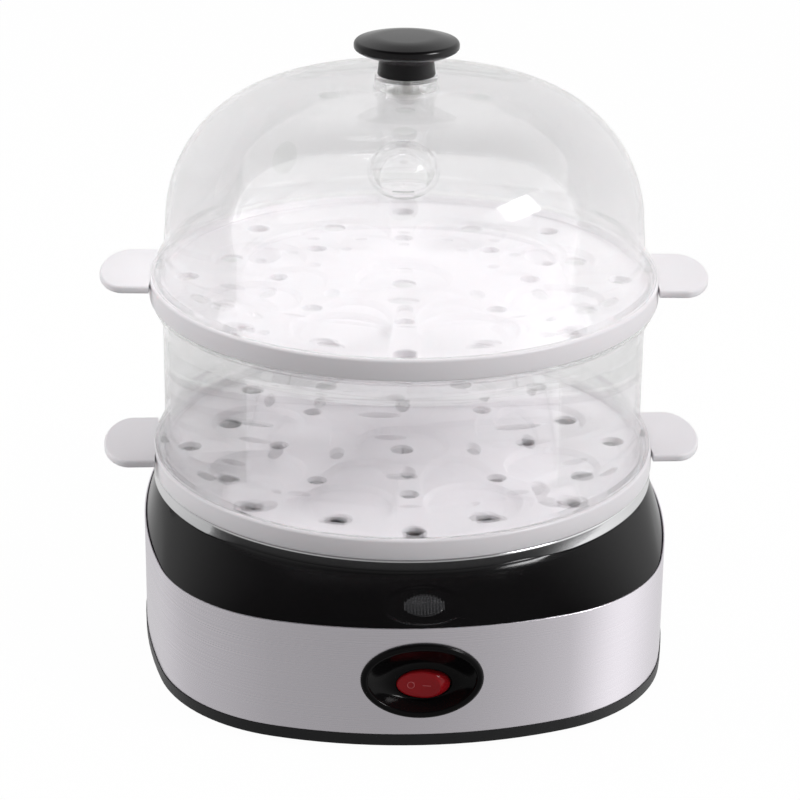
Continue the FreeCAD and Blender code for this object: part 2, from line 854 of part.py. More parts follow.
# Egg-shaped drum round the pivot pins, cut to a hollow face in front and a stem behind
def makeRocker():
    arc = Part.Ellipse(vec(0, 0, 0), rockerHalfLength, rockerHalfHeight).toShape()
    wire = Part.Wire([arc])
    wire.rotate(vec(0, 0, 0), vec(1, 0, 0), 90)
    wide = rockerHalfLength * 2
    halfPlane = box(0, wide, -wide, wide, -wide, wide)
    face = Part.Face(wire).common(halfPlane)
    drum = face.revolve(vec(0, 0, 0), vec(0, 0, 1), 360)
    drum = drum.common(box(-wide, wide, -rockerProud, rockerStem, -wide, wide))
    dishR = (rockerHalfLength ** 2 + rockerDish ** 2) / (2 * rockerDish)
    hollow = Part.makeCylinder(dishR, wide * 2, vec(0, -rockerProud - dishR + rockerDish, -wide))
    drum = drum.cut(hollow)
    pins = cylinder(rockerPinR, -rockerHalfHeight - rockerPinReach, rockerHalfHeight + rockerPinReach)
    rocker = drum.fuse(pins)
    rocker = turned(rocker, -rockerTilt)
    return moved(rocker, vec(bezelX, rockerPivotY(), rockerZ()))


def makeSwitchBody():
    backY = bezelFloorFrontY() + bezelFloor
    halfWide = rockerHalfLength + rockerGap + switchWall
    halfTall = rockerHalfHeight + rockerGap + switchWall
    inWide = halfWide - switchWall
    inTall = halfTall - switchWall
    body = box(-halfWide, halfWide, backY, backY + switchLength, -halfTall, halfTall)
    cavity = box(-inWide, inWide, backY - 1, backY + switchCavityDepth, -inTall, inTall)
    return moved(body.cut(cavity), vec(bezelX, 0, rockerZ()))


def switchTabX():
    return [bezelX + side * switchTabPitch for side in (-1, 0, 1)]


def makeSwitchTerminals():
    startY = bezelFloorFrontY() + bezelFloor + switchLength
    tab = box(-tabThick / 2, tabThick / 2, startY, startY + tabLength, -tabWidth / 2, tabWidth / 2)
    return Part.makeCompound([moved(tab, vec(x, 0, rockerZ())) for x in switchTabX()])


def lensSeatZ():
    return -recessDepth - recessFloor


def makeLens():
    edgeZ = lensProud - recessDepth
    crownZ = edgeZ + lensCrownHeight
    body = deckOval(lensHalfWidth, lensHalfLength, lensSeatZ() - 0.2, edgeZ)
    dome = Part.makeSphere(lensCrownR, vec(0, 0, crownZ - lensCrownR))
    top = deckOval(lensHalfWidth, lensHalfLength, edgeZ - 0.5, edgeZ + 2)
    body = body.fuse(top.common(dome))
    flange = deckOval(lensHalfWidth + lensFlange, lensHalfLength + lensFlange,
                      lensSeatZ() - lensFlange, lensSeatZ())
    body = body.fuse(flange)
    cuts = []
    pitch = 2 * (lensHalfWidth - 1) / lensRibs
    first = -(lensRibs - 1) / 2 * pitch
    for index in range(lensRibs):
        start = vec(first + index * pitch, -lensHalfLength * 2, crownZ)
        cuts.append(Part.makeCylinder(lensRibR, lensHalfLength * 4, start, vec(0, 1, 0)))
    return onDeck(body.cut(cuts))


# Clip under the deck that holds the neon lamp below the lens
def makeLampHolder():
    top = lensSeatZ() - lensFlange
    half = neonLength / 2
    outer = neonR + fitGap + holderWall
    margin = lensFlange + holderMargin
    plate = deckOval(lensHalfWidth + margin, lensHalfLength + margin, top - holderWall, top)
    tube = alongX(outer, -half, half, 0, neonZ())
    bore = alongX(neonR + fitGap, -half - 2, half + 2, 0, neonZ())
    window = box(-half + 1, half - 1, -holderSlotHalf, holderSlotHalf, top - holderWall - 1, top + 1)
    return onDeck(plate.fuse(tube).cut([bore, window]))


def neonZ():
    return lensSeatZ() - lensFlange - holderWall - neonR - fitGap


def makeNeon():
    half = neonLength / 2
    bulb = alongX(neonR, -half, half - 1, 0, neonZ())
    cap = Part.makeSphere(neonR, vec(half - 1, 0, neonZ()))
    leads = [alongX(neonLeadR, -half - neonLeadLength, -half + 0.5, y, neonZ()) for y in (-1, 1)]
    return onDeck(fuseAll([bulb, cap] + leads))


def makeGland():
    inside = rearY - housingInset - housingWall
    sleeve = cylinderY(glandSleeveR, inside - glandInside, rearY + 1, 0, glandZ)
    collar = cylinderY(glandFlangeR, rearY - 2, rearY + glandFlangeThick, 0, glandZ)
    collar = collar.cut(basePrism(0, glandZ - 20, glandZ + 20))
    shoulder = cylinderY(glandFlangeR - 1.2, inside - glandInside, inside - fitGap, 0, glandZ)
    shoulder = shoulder.common(basePrism(cavityInset + fitGap, glandZ - 20, glandZ + 20))
    bore = cylinderY(cordBoreR, inside - glandInside - 1, rearY + glandFlangeThick + 1, 0, glandZ)
    return fuseAll([sleeve, collar, shoulder]).cut(bore)


def makeClamp():
    y = rearY - clampRearGap
    half = clampWidth / 2
    bar = box(-half, half, y - clampLength / 2, y + clampLength / 2, clampPedestalZ(), clampTopZ())
    gap = box(-cordBoreR, cordBoreR, y - clampLength, y + clampLength,
              clampPedestalZ() - 1, clampTopZ() - clampBar)
    holes = [cylinder(screwR + assemblyGap, clampPedestalZ() - 1, clampTopZ() + 1, holeX, holeY)
             for holeX, holeY in clampScrewPlaces()]
    return bar.cut([gap] + holes)


def makeClampScrews():
    reach = clampTopZ() - clampPedestalZ() + 6
    return Part.makeCompound([panScrew(x, y, clampTopZ(), reach, up=False) for x, y in clampScrewPlaces()])


def makeTerminalBlock():
    middleZ = coverFloorZ + blockHeight / 2
    topZ = coverFloorZ + blockHeight
    half = blockWidth / 2
    block = box(-blockLength / 2, blockLength / 2, blockY - half, blockY + half, coverFloorZ, topZ)
    cuts = []
    for index in (-1, 0, 1):
        x = index * blockLength / 3
        cuts.append(cylinderY(blockBoreR, blockY - blockWidth, blockY + blockWidth, x, middleZ))
        cuts.append(cylinder(blockScrewR, middleZ, topZ + 1, x, blockY))
    for index in (-1, 1):
        x = index * blockLength / 6
        cuts.append(box(x - blockSlot / 2, x + blockSlot / 2, blockY - blockWidth, blockY + blockWidth,
                        topZ - blockSlotDepth, topZ + 1))
    return block.cut(cuts)


# Where a lead ends inside the front of one of the block's ways
def blockPort(index):
    y = blockY - blockWidth / 2 + blockPortDepth
    return vec(index * blockLength / 3, y, coverFloorZ + blockHeight / 2)


# Leads inside the base, each from one terminal to the next
def makeLeads():
    tabEndY = bezelFloorFrontY() + bezelFloor + switchLength + tabLength
    ends = elementEnds()
    low = plateUnderZ - thermostatHeight - tabLength
    elementLow = ends[0].z - ceramicLength - tabLength
    floorZ = coverFloorZ + blockHeight / 2
    tabY = thermostatR - thermostatTabInset
    fuseEnd = fuseLength / 2 + fuseLead
    supply = leadTube("supply", [
        blockPort(-1), vec(-blockLength / 3, blockY - 20, floorZ), vec(-30, 8, floorZ),
        vec(-32, -24, floorZ + 4), vec(switchTabX()[0] - 12, tabEndY + 26, rockerZ() - 5),
        vec(switchTabX()[0], tabEndY + 14, rockerZ()), vec(switchTabX()[0], tabEndY, rockerZ())], wireR)
    toThermostat = leadTube("switch to thermostat", [
        vec(switchTabX()[2], tabEndY, rockerZ()), vec(switchTabX()[2], tabEndY + 14, rockerZ()),
        vec(9, -34, low - 8), vec(4, -18, low - 12), vec(0, -tabY - 4, low - 10), vec(0, -tabY, low - 5),
        vec(0, -tabY, low)], wireR)
    toFuse = leadTube("thermostat to fuse", [
        vec(0, tabY, low), vec(0, tabY, low - 6), vec(8, tabY + 5, low - 9), vec(19, 14, low - 3),
        vec(23, fuseRowY, fuseAxisZ() - 6), vec(19, fuseRowY, fuseAxisZ()),
        vec(fuseEnd, fuseRowY, fuseAxisZ())], wireR)
    toElement = leadTube("fuse to element", [
        vec(-fuseEnd, fuseRowY, fuseAxisZ()), vec(-19, fuseRowY, fuseAxisZ()), vec(-24, 15, fuseAxisZ() - 7),
        vec(-24, -6, elementLow + 2), vec(-21, -24, elementLow - 5),
        vec(ends[1].x - 1, ends[1].y + 3, elementLow - 7),
        vec(ends[1].x, ends[1].y, elementLow - 5), vec(ends[1].x, ends[1].y, elementLow)], wireR)
    neutral = leadTube("neutral", [
        blockPort(1), vec(blockLength / 3, blockY - 20, floorZ), vec(26, 8, floorZ), vec(30, -14, floorZ),
        vec(ends[0].x + 5, ends[0].y + 4, elementLow - 6), vec(ends[0].x, ends[0].y, elementLow - 4),
        vec(ends[0].x, ends[0].y, elementLow)], wireR)
    return Part.makeCompound([supply, toThermostat, toFuse, toElement, neutral])


# The plan of one ear at height z: straight sides out from the rim's wall to an oval end
def earWire(z):
    root = trayRimR - trayRimWall / 2
    endX = trayRimR + earReach - earEndDepth
    oval = Part.Ellipse(vec(endX, earHalfWidth, z), vec(endX + earEndDepth, 0, z), vec(endX, 0, z))
    end = Part.Arc(oval, 0, math.pi).toShape()
    return Part.Wire([
        Part.makeLine(vec(root, earHalfWidth, z), vec(endX, earHalfWidth, z)), end,
        Part.makeLine(vec(endX, -earHalfWidth, z), vec(root, -earHalfWidth, z)),
        Part.makeLine(vec(root, -earHalfWidth, z), vec(root, earHalfWidth, z))])


# One ear: a thin tongue, rounded all along its upper and lower edge
def makeEar(top):
    ear = Part.Face(earWire(top - earThick)).extrude(vec(0, 0, earThick))
    outer = [e for e in ear.Edges if abs(e.BoundBox.ZLength) < 1e-6 and e.CenterOfMass.x > trayRimR]
    return ear.makeFillet(earRound, outer)


# Both trays: rim, sunk plate with round seats and steam holes, skirt below, two ears
def makeTray(turn, restZ):
    top = restZ + trayRimHeight
    plateTop = top - trayPlateDrop
    plateUnder = plateTop - trayPlateThick
    skirtR = dishWallR - traySkirtPlay
    corners = [
        (0, plateTop, 0), (trayRimR - trayRimWall, plateTop, 0.8), (trayRimR - trayRimWall, top, 0.5),
        (trayRimR, top, 0.9), (trayRimR, restZ, 0.5), (trayRimR - trayRimWall, restZ, 0),
        (trayRimR - trayRimWall, plateUnder, 0.5), (skirtR, plateUnder, 0.5),
        (skirtR, restZ - traySkirtDrop, 0.5),
        (skirtR - traySkirtWall, restZ - traySkirtDrop, 0.5), (skirtR - traySkirtWall, plateUnder, 0.5),
        (0, plateUnder, 0),
    ]
    body = revolved(corners)
    additions = [turned(makeEar(top - earDrop), side) for side in (0, 180)]
    seats = [vec(0, 0, 0)] + [polar(cupCircleR, -90 + (k + 0.5) * 360 / cupCount) for k in range(cupCount)]
    cuts = []
    seatZ = plateTop - cupDepth
    for place in seats:
        additions.append(cylinder(cupR + cupWall, seatZ - cupWall, plateUnder + 0.5, place.x, place.y))
        cuts.append(Part.makeCone(cupR - cupTaper, cupR, cupDepth, vec(place.x, place.y, seatZ)))
    holeLow = plateTop - 10
    cuts.append(cylinder(outerHoleR, holeLow, plateTop + 1))
    for index in range(cupCount):
        between = -90 + index * 360 / cupCount
        middle = -90 + (index + 0.5) * 360 / cupCount
        for radius, circle, angle in ((outerHoleR, outerHoleCircleR, between),
                                      (outerHoleR, cupHoleCircleR, middle),
                                      (innerHoleR, innerHoleCircleR, between)):
            place = polar(circle, angle)
            cuts.append(cylinder(radius, holeLow, plateTop + 1, place.x, place.y))
    body = body.multiFuse(additions).cut(cuts)
    return turned(body.removeSplitter(), turn)


# The clear foot shared by the ring and the lid: flare down to the tray's rim, spigot inside it
def footOuter(wallR, restZ):
    return [(footFlareR, restZ, 0.3), (footFlareR, restZ + footEdge, 0.6),
            (wallR, restZ + footFlareHeight, flareRound)]


def spigotCorners(restZ):
    outer = trayRimR - trayRimWall - assemblyGap
    return [(outer - spigotWall, restZ - spigotDrop, 0.4), (outer, restZ - spigotDrop, 0.4),
            (outer, restZ, 0)]


def makeRing():
    top = ringRestZ + ringHeight
    wall = ringWallR
    inner = ringWallR - clearWall
    spigot = spigotCorners(ringRestZ)
    corners = spigot + footOuter(wall, ringRestZ) + [
        (wall, top - footFlareHeight, flareRound), (footFlareR, top - footEdge, 0.6), (footFlareR, top, 0.3),
        (footFlareR - clearWall - 0.4, top, 0.3),
        (inner, top - footFlareHeight + 1.0, flareRound),
        (inner, ringRestZ + footFlareHeight - 1.0, flareRound),
        (spigot[0][0], ringRestZ + footEdge - 0.4, 1.0)]
    return revolved(corners)


# The lid's corner, where its leaning wall meets the nearly flat crown, before rounding
def lidCorner():
    return lidShoulderR, lidRestZ + lidHeight - lidCrownDrop


def lidApexZ():
    return lidRestZ + lidHeight


# Where the vent bubble sits on the shoulder, and which way it faces
def ventPlace():
    lean = math.radians(ventLean)
    centreX, centreZ = shoulderCentre()
    radius = centreX + lidShoulderArc * math.cos(lean)
    turn = math.radians(-90 + ventTurn)
    outward = vec(math.cos(lean) * math.cos(turn), math.cos(lean) * math.sin(turn), math.sin(lean))
    height = centreZ + lidShoulderArc * math.sin(lean)
    return vec(radius * math.cos(turn), radius * math.sin(turn), height), outward


# Centre of the arc that rounds the lid's corner: as far from the wall as from the crown
def shoulderCentre():
    cornerR, cornerZ = lidCorner()
    wallLean = math.atan2(lidBaseR - cornerR, cornerZ - lidRestZ - footFlareHeight)
    crownLean = math.atan2(lidCrownDrop, cornerR)
    half = (math.pi / 2 + wallLean - crownLean) / 2
    toCentre = lidShoulderArc / math.sin(half)
    direction = math.pi - crownLean + half
    return cornerR + toCentre * math.cos(direction), cornerZ + toCentre * math.sin(direction)


def makeLid():
    spigot = spigotCorners(lidRestZ)
    cornerR, cornerZ = lidCorner()
    low = lidRestZ - spigotDrop
    outer = revolved([(0, low, 0), spigot[1], spigot[2]] + footOuter(lidBaseR, lidRestZ) + [
        (cornerR, cornerZ, lidShoulderArc), (bossR, lidApexZ() - lidCrownDrop * bossR / cornerR, 0.8),
        (bossR, knobBottomZ(), 0.8), (0, knobBottomZ(), 0)])
    innerR = lidBaseR - clearWall
    inner = revolved([(0, low - 1, 0), (spigot[0][0], low - 1, 0), (spigot[0][0], lidRestZ + footEdge, 1.0),
                      (innerR, lidRestZ + footFlareHeight - 1, flareRound),
                      (cornerR - clearWall, cornerZ - clearWall, lidShoulderArc - clearWall),
                      (0, lidApexZ() - clearWall, 0)])
    place, outward = ventPlace()
    sink = math.sqrt(ventBubbleR ** 2 - ventRimR ** 2)
    centre = place.sub(vec(*outward).multiply(sink))
    bubble = Part.makeSphere(ventBubbleR, centre, outward)
    hollow = Part.makeSphere(ventBubbleR - clearWall * 0.8, centre, outward)
    slotCentre = centre.add(vec(*outward).multiply(ventBubbleR * ventSlotForward))
    slot = Part.makeBox(ventSlotWidth, 30, ventSlotHeight, vec(-ventSlotWidth / 2, -30, -ventSlotHeight / 2))
    slot = moved(turned(slot, ventTurn), slotCentre.sub(vec(0, 0, ventRimR * ventSlotDrop)))
    screwHole = cylinder(knobScrewR + assemblyGap, lidApexZ() - 10, knobBottomZ() + 1)
    return outer.fuse(bubble).cut([inner, hollow, slot, screwHole]).removeSplitter()


def knobBottomZ():
    return lidApexZ() + bossHeight


def makeKnob():
    low = knobBottomZ()
    capLow = low + knobNeckHeight
    capTop = capLow + knobCapHeight
    crownZ = capTop + knobCrown
    corners = [
        (0, low, 0), (knobNeckR, low, 0.5), (knobNeckR - 0.8, capLow, 2.5),
        (knobCapR - 2.4, capLow + 0.6, 1.0), (knobCapR, capLow + 2.0, 1.2),
        (knobCapR, capTop - 0.6, knobEdge), (knobCapR * 0.62, crownZ, 20), (0, crownZ, 0),
    ]
    knob = revolved(corners)
    return knob.cut(cylinder(knobScrewR + fitGap, low - 1, low + knobScrewReach + 1))


def makeKnobWasher():
    under = lidApexZ() - clearWall - bossUnderGap()
    washer = cylinder(knobWasherR, under - knobWasherThick, under)
    return washer.cut(cylinder(knobScrewR + assemblyGap, under - 5, under + 1))


# The inner skin falls away from the axis, so the washer's edge touches first
def bossUnderGap():
    return (lidCrownDrop * knobWasherR) / (lidShoulderR - clearWall)


def makeKnobScrew():
    under = lidApexZ() - clearWall - bossUnderGap() - knobWasherThick
    low = under - knobHeadHeight
    headR = knobScrewR * knobHeadShare
    head = revolved([(0, low, 0), (headR, low, 1.2), (headR, under, 0.2), (0, under, 0)])
    for across in (0, 90):
        slot = box(-knobDriveHalf, knobDriveHalf, -driveWidth / 2, driveWidth / 2, low, low + knobDriveDepth)
        head = head.cut(turned(slot, across))
    return head.fuse(cylinder(knobScrewR, under - 0.2, knobBottomZ() + knobScrewReach))


# The origin lies under the middle of the whole outline, from the bezel's lip to the gland
def toOrigin():
    return vec(0, -(frontY - bezelProud + rearY + glandFlangeThick) / 2, 0)


def main():
    nodes = {
        "base_cover": makeCover(),
        "cover_screws": makeCoverScrews(),
        "rubber_feet": makeFeet(),
        "steel_band": makeBand(),
        "upper_housing": makeHousing(),
        "heating_dish": makeDish(),
        "dish_gasket": makeGasket(),
        "heat_plate": makeHeatPlate(),
        "heating_element": makeElement(),
        "element_terminals": makeElementTerminals(),
        "dish_studs": makeStuds(),
        "stud_nuts": makeNuts(),
        "thermostat": makeThermostat(),
        "thermostat_strap": makeStrap(),
        "strap_screws": makeStrapScrews(),
        "thermal_fuse": makeFuse(),
        "fuse_clip": makeFuseClip(),
        "switch_bezel": makeBezel(),
        "switch_rocker": makeRocker(),
        "switch_body": makeSwitchBody(),
        "switch_terminals": makeSwitchTerminals(),
        "lamp_lens": makeLens(),
        "lamp_holder": makeLampHolder(),
        "neon_lamp": makeNeon(),
        "cord_gland": makeGland(),
        "cord_clamp": makeClamp(),
        "clamp_screws": makeClampScrews(),
        "terminal_block": makeTerminalBlock(),
        "internal_leads": makeLeads(),
        "lower_tray": makeTray(lowerTrayTurn, trayRestZ),
        "steamer_ring": makeRing(),
        "upper_tray": makeTray(upperTrayTurn, upperTrayRestZ),
        "lid": makeLid(),
        "lid_knob": makeKnob(),
        "knob_washer": makeKnobWasher(),
        "knob_screw": makeKnobScrew(),
    }
    os.makedirs("parts", exist_ok=True)
    for name, built in nodes.items():
        shape = moved(built, toOrigin())
        shape.exportStep("parts/" + name + ".step")
        bounds = shape.BoundBox
        print(name, "valid", shape.isValid(), "solids", len(shape.Solids), "volume", round(shape.Volume, 1),
              "z", round(bounds.ZMin, 2), round(bounds.ZMax, 2))


main()
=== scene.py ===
import bpy
import bmesh
import json
import math
from mathutils import Matrix, Vector


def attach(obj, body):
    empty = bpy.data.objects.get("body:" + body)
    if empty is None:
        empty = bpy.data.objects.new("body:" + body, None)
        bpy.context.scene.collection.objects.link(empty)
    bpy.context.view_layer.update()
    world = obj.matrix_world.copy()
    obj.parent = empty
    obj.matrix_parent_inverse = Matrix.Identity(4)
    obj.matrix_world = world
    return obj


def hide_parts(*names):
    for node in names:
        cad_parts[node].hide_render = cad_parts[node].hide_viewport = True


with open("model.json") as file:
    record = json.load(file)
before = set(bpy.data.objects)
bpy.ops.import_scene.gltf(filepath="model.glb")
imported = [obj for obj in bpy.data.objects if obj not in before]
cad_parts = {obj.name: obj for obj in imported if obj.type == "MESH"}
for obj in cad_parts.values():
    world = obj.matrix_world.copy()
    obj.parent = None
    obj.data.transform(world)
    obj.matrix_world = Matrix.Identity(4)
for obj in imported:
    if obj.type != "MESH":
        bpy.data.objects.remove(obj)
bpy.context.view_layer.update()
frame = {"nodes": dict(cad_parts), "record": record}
node = frame["nodes"]
mm = 0.001
stackY = 4.6  # the round stack stands a little behind the origin
print("frame loaded:", len(node), "nodes")


# A new node with its settings; an input is linked where a socket is given, and set where a value is
def addNode(tree, kind, inputs=None, **settings):
    made = tree.nodes.new(kind)
    for label, value in settings.items():
        setattr(made, label, value)
    for label, value in (inputs or {}).items():
        if isinstance(value, bpy.types.NodeSocket):
            tree.links.new(value, made.inputs[label])
        else:
            made.inputs[label].default_value = value
    return made


# A node group from its inputs (name, type, value) and outputs (name, type)
def newGroup(name, kind, inputs, outputs):
    tree = bpy.data.node_groups.new(name, kind)
    for label, socketType, value in inputs:
        socket = tree.interface.new_socket(label, in_out="INPUT", socket_type="NodeSocket" + socketType)
        if value is not None:
            socket.default_value = value
    for label, socketType in outputs:
        tree.interface.new_socket(label, in_out="OUTPUT", socket_type="NodeSocket" + socketType)
    return tree, tree.nodes.new("NodeGroupInput").outputs, tree.nodes.new("NodeGroupOutput").inputs


def mathNode(tree, operation, a, b):
    return addNode(tree, "ShaderNodeMath", {0: a, 1: b}, operation=operation).outputs[0]


def noiseNode(tree, vector, scale, detail):
    inputs = {"Vector": vector, "Scale": scale, "Detail": detail}
    return addNode(tree, "ShaderNodeTexNoise", inputs).outputs["Fac"]


def mixShaders(tree, share, first, second):
    return addNode(tree, "ShaderNodeMixShader", {0: share, 1: first.outputs[0], 2: second.outputs[0]})


def rgb(r, g, b):
    return (r, g, b, 1.0)


def grey(value):
    return rgb(value, value, value)


# Materials
skinOutputs = [("Colour", "Color"), ("Roughness", "Float"), ("Normal", "Vector")]


# Both skins end alike: a colour between two tones, an uneven gloss and a fine relief
def endSkin(tree, given, end, blend, uneven, height, distance):
    colour = addNode(tree, "ShaderNodeMix", {"Factor": blend, 6: given["Tone"], 7: given["Shade"]},
                     data_type="RGBA")
    spread = mathNode(tree, "MULTIPLY", mathNode(tree, "SUBTRACT", uneven, 0.5), given["Spread"])
    bump = addNode(tree, "ShaderNodeBump",
                   {"Distance": distance, "Height": height, "Strength": given["Relief"]})
    tree.links.new(colour.outputs[2], end["Colour"])
    tree.links.new(mathNode(tree, "ADD", given["Gloss"], spread), end["Roughness"])
    tree.links.new(bump.outputs["Normal"], end["Normal"])
    return tree


# Moulded plastic: faint orange peel, slow colour change, uneven gloss
def mouldedGroup():
    tree, given, end = newGroup("mouldedSkin", "ShaderNodeTree", [
        ("Tone", "Color", grey(0.8)), ("Shade", "Color", grey(0.7)), ("Gloss", "Float", 0.3),
        ("Spread", "Float", 0.08), ("Grain", "Float", 900.0), ("Relief", "Float", 0.1)], skinOutputs)
    place = addNode(tree, "ShaderNodeTexCoord").outputs["Object"]
    slow = noiseNode(tree, place, 22.0, 3.0)
    fine = noiseNode(tree, place, given["Grain"], 2.0)
    smudge = noiseNode(tree, place, 60.0, 5.0)
    return endSkin(tree, given, end, slow, smudge, fine, 0.0002)


# Brushed metal: hair lines along the level direction, or round the axis
def brushedGroup():
    tree, given, end = newGroup("brushedLines", "ShaderNodeTree", [
        ("Tone", "Color", grey(0.7)), ("Shade", "Color", grey(0.5)), ("Gloss", "Float", 0.3),
        ("Spread", "Float", 0.2), ("Stretch", "Vector", (4.0, 4.0, 2600.0)), ("Relief", "Float", 0.2)],
        skinOutputs)
    place = addNode(tree, "ShaderNodeTexCoord").outputs["Object"]
    scaled = addNode(tree, "ShaderNodeVectorMath", {0: place, 1: given["Stretch"]}, operation="MULTIPLY")
    lines = noiseNode(tree, scaled.outputs[0], 1.0, 4.0)
    blotch = noiseNode(tree, place, 14.0, 2.0)
    both = mathNode(tree, "MULTIPLY", mathNode(tree, "ADD", lines, blotch), 0.5)
    return endSkin(tree, given, end, both, lines, lines, 0.0001)


def newMaterial(name):
    made = bpy.data.materials.new(name)
    made.use_nodes = True
    return made, made.node_tree, made.node_tree.nodes["Principled BSDF"]


# A look's values go to the skin's own inputs, and the others to the shader
def finishedMaterial(name, group, look):
    made, tree, shader = newMaterial(name)
    effect = addNode(tree, "ShaderNodeGroup", node_tree=group)
    for label, value in look.items():
        owner = effect if label in effect.inputs else shader
        owner.inputs[label].default_value = value
    for output, label in (("Colour", "Base Color"), ("Roughness", "Roughness"), ("Normal", "Normal")):
        tree.links.new(effect.outputs[output], shader.inputs[label])
    return made


plastics = {
    "black_gloss": {"Tone": rgb(0.003, 0.0028, 0.003), "Shade": rgb(0.006, 0.0055, 0.006),
                    "Gloss": 0.16, "Spread": 0.06, "Grain": 500.0, "Relief": 0.04, "IOR": 1.38},
    "switch_black": {"Tone": rgb(0.003, 0.0028, 0.003), "Shade": rgb(0.005, 0.0046, 0.005),
                     "Gloss": 0.14, "Spread": 0.04, "Grain": 500.0, "Relief": 0.03, "IOR": 1.2},
    "black_matt": {"Tone": rgb(0.005, 0.005, 0.006), "Shade": rgb(0.011, 0.011, 0.012),
                   "Gloss": 0.4, "Spread": 0.12, "Grain": 2400.0, "Relief": 0.3, "IOR": 1.4},
    "white_tray": {"Tone": rgb(0.86, 0.832, 0.86), "Shade": rgb(0.85, 0.822, 0.85),
                   "Gloss": 0.3, "Spread": 0.04, "Grain": 700.0, "Relief": 0.02, "Subsurface Weight": 0.12,
                   "Subsurface Radius": (0.004, 0.003, 0.003), "Subsurface Scale": 1.0},
    "red_rocker": {"Tone": rgb(0.44, 0.012, 0.018), "Shade": rgb(0.28, 0.008, 0.012),
                   "Gloss": 0.14, "Spread": 0.05, "Grain": 600.0, "Relief": 0.04, "IOR": 1.3,
                   "Subsurface Weight": 0.3, "Subsurface Radius": (0.004, 0.0006, 0.0006),
                   "Subsurface Scale": 1.0},
    "rocker_mark": {"Tone": rgb(0.62, 0.12, 0.13), "Shade": rgb(0.5, 0.08, 0.09),
                    "Gloss": 0.4, "Spread": 0.1, "Grain": 900.0, "Relief": 0.1},
    "rubber_foot": {"Tone": grey(0.02), "Shade": grey(0.04),
                    "Gloss": 0.75, "Spread": 0.2, "Grain": 3000.0, "Relief": 0.6},
    "silicone": {"Tone": rgb(0.55, 0.55, 0.53), "Shade": rgb(0.45, 0.45, 0.43),
                 "Gloss": 0.55, "Spread": 0.1, "Grain": 1500.0, "Relief": 0.2},
    "ceramic_bead": {"Tone": rgb(0.86, 0.84, 0.8), "Shade": rgb(0.72, 0.69, 0.64),
                     "Gloss": 0.6, "Spread": 0.2, "Grain": 2600.0, "Relief": 0.5},
    "lead_insulation": {"Tone": rgb(0.07, 0.07, 0.09), "Shade": rgb(0.12, 0.12, 0.13),
                        "Gloss": 0.35, "Spread": 0.1, "Grain": 1200.0, "Relief": 0.15},
}
metals = {
    "brushed_band": {"Tone": rgb(0.84, 0.805, 0.855), "Shade": rgb(0.77, 0.735, 0.782), "Gloss": 0.28,
                     "Spread": 0.12, "Stretch": (9.0, 9.0, 3600.0), "Relief": 0.03, "Anisotropic": 0.4},
    "polished_dish": {"Tone": rgb(0.78, 0.78, 0.79), "Shade": rgb(0.7, 0.7, 0.71), "Gloss": 0.1,
                      "Spread": 0.06, "Stretch": (30.0, 30.0, 900.0), "Relief": 0.04},
    "aluminium_plate": {"Tone": rgb(0.64, 0.65, 0.66), "Shade": rgb(0.5, 0.51, 0.52), "Gloss": 0.5,
                        "Spread": 0.2, "Stretch": (700.0, 700.0, 700.0), "Relief": 0.4},
    "sheath_steel": {"Tone": rgb(0.36, 0.34, 0.32), "Shade": rgb(0.2, 0.19, 0.2), "Gloss": 0.45,
                     "Spread": 0.2, "Stretch": (300.0, 300.0, 300.0), "Relief": 0.2},
    "zinc_steel": {"Tone": rgb(0.62, 0.61, 0.58), "Shade": grey(0.5), "Gloss": 0.35,
                   "Spread": 0.2, "Stretch": (500.0, 500.0, 500.0), "Relief": 0.15},
    "brass_tab": {"Tone": rgb(0.74, 0.56, 0.28), "Shade": rgb(0.6, 0.44, 0.2), "Gloss": 0.35,
                  "Spread": 0.15, "Stretch": (60.0, 60.0, 1500.0), "Relief": 0.15},
}


# Clear plastic: real walls bend the light, and shadow rays pass so that the inside stays bright
def clearMaterial(name, look):
    made, tree, shader = newMaterial(name)
    for label in ("Base Color", "Roughness", "IOR", "Transmission Weight"):
        shader.inputs[label].default_value = look[label]
    path = addNode(tree, "ShaderNodeLightPath").outputs
    shadow = mathNode(tree, "MULTIPLY", path["Is Shadow Ray"], look["shadowless"])
    share = mathNode(tree, "MAXIMUM", shadow, look["seeThrough"])
    mix = mixShaders(tree, share, shader, addNode(tree, "ShaderNodeBsdfTransparent"))
    tree.links.new(mix.outputs[0], tree.nodes["Material Output"].inputs["Surface"])
    return made


clears = {
    "clear_shell": {"Base Color": rgb(0.992, 0.992, 0.995), "Roughness": 0.012, "IOR": 1.36,
                    "Transmission Weight": 1.0, "seeThrough": 0.5, "shadowless": 0.94},
    # the lens's dark tint is painted shade: it stands in for the shaded inside of the housing seen through
    # the clear lens
    "clear_lens": {"Base Color": rgb(0.075, 0.075, 0.08), "Roughness": 0.1, "IOR": 1.49,
                   "Transmission Weight": 0.55, "seeThrough": 0.0, "shadowless": 0.5},
    "neon_glass": {"Base Color": rgb(0.95, 0.82, 0.74), "Roughness": 0.03, "IOR": 1.5,
                   "Transmission Weight": 0.9, "seeThrough": 0.0, "shadowless": 0.8},
}

moulded, brushed = mouldedGroup(), brushedGroup()
finish = {name: finishedMaterial(name, moulded, look) for name, look in plastics.items()}
for name, look in metals.items():
    finish[name] = finishedMaterial(name, brushed, {**look, "Metallic": 1.0})
finish.update({name: clearMaterial(name, look) for name, look in clears.items()})

for row in frame["record"]["subparts"]:
    carried = node[row["node"]]
    for place in carried.material_slots:
        place.material = finish[row["material_slot"]]
print("materials ready:", len(finish))


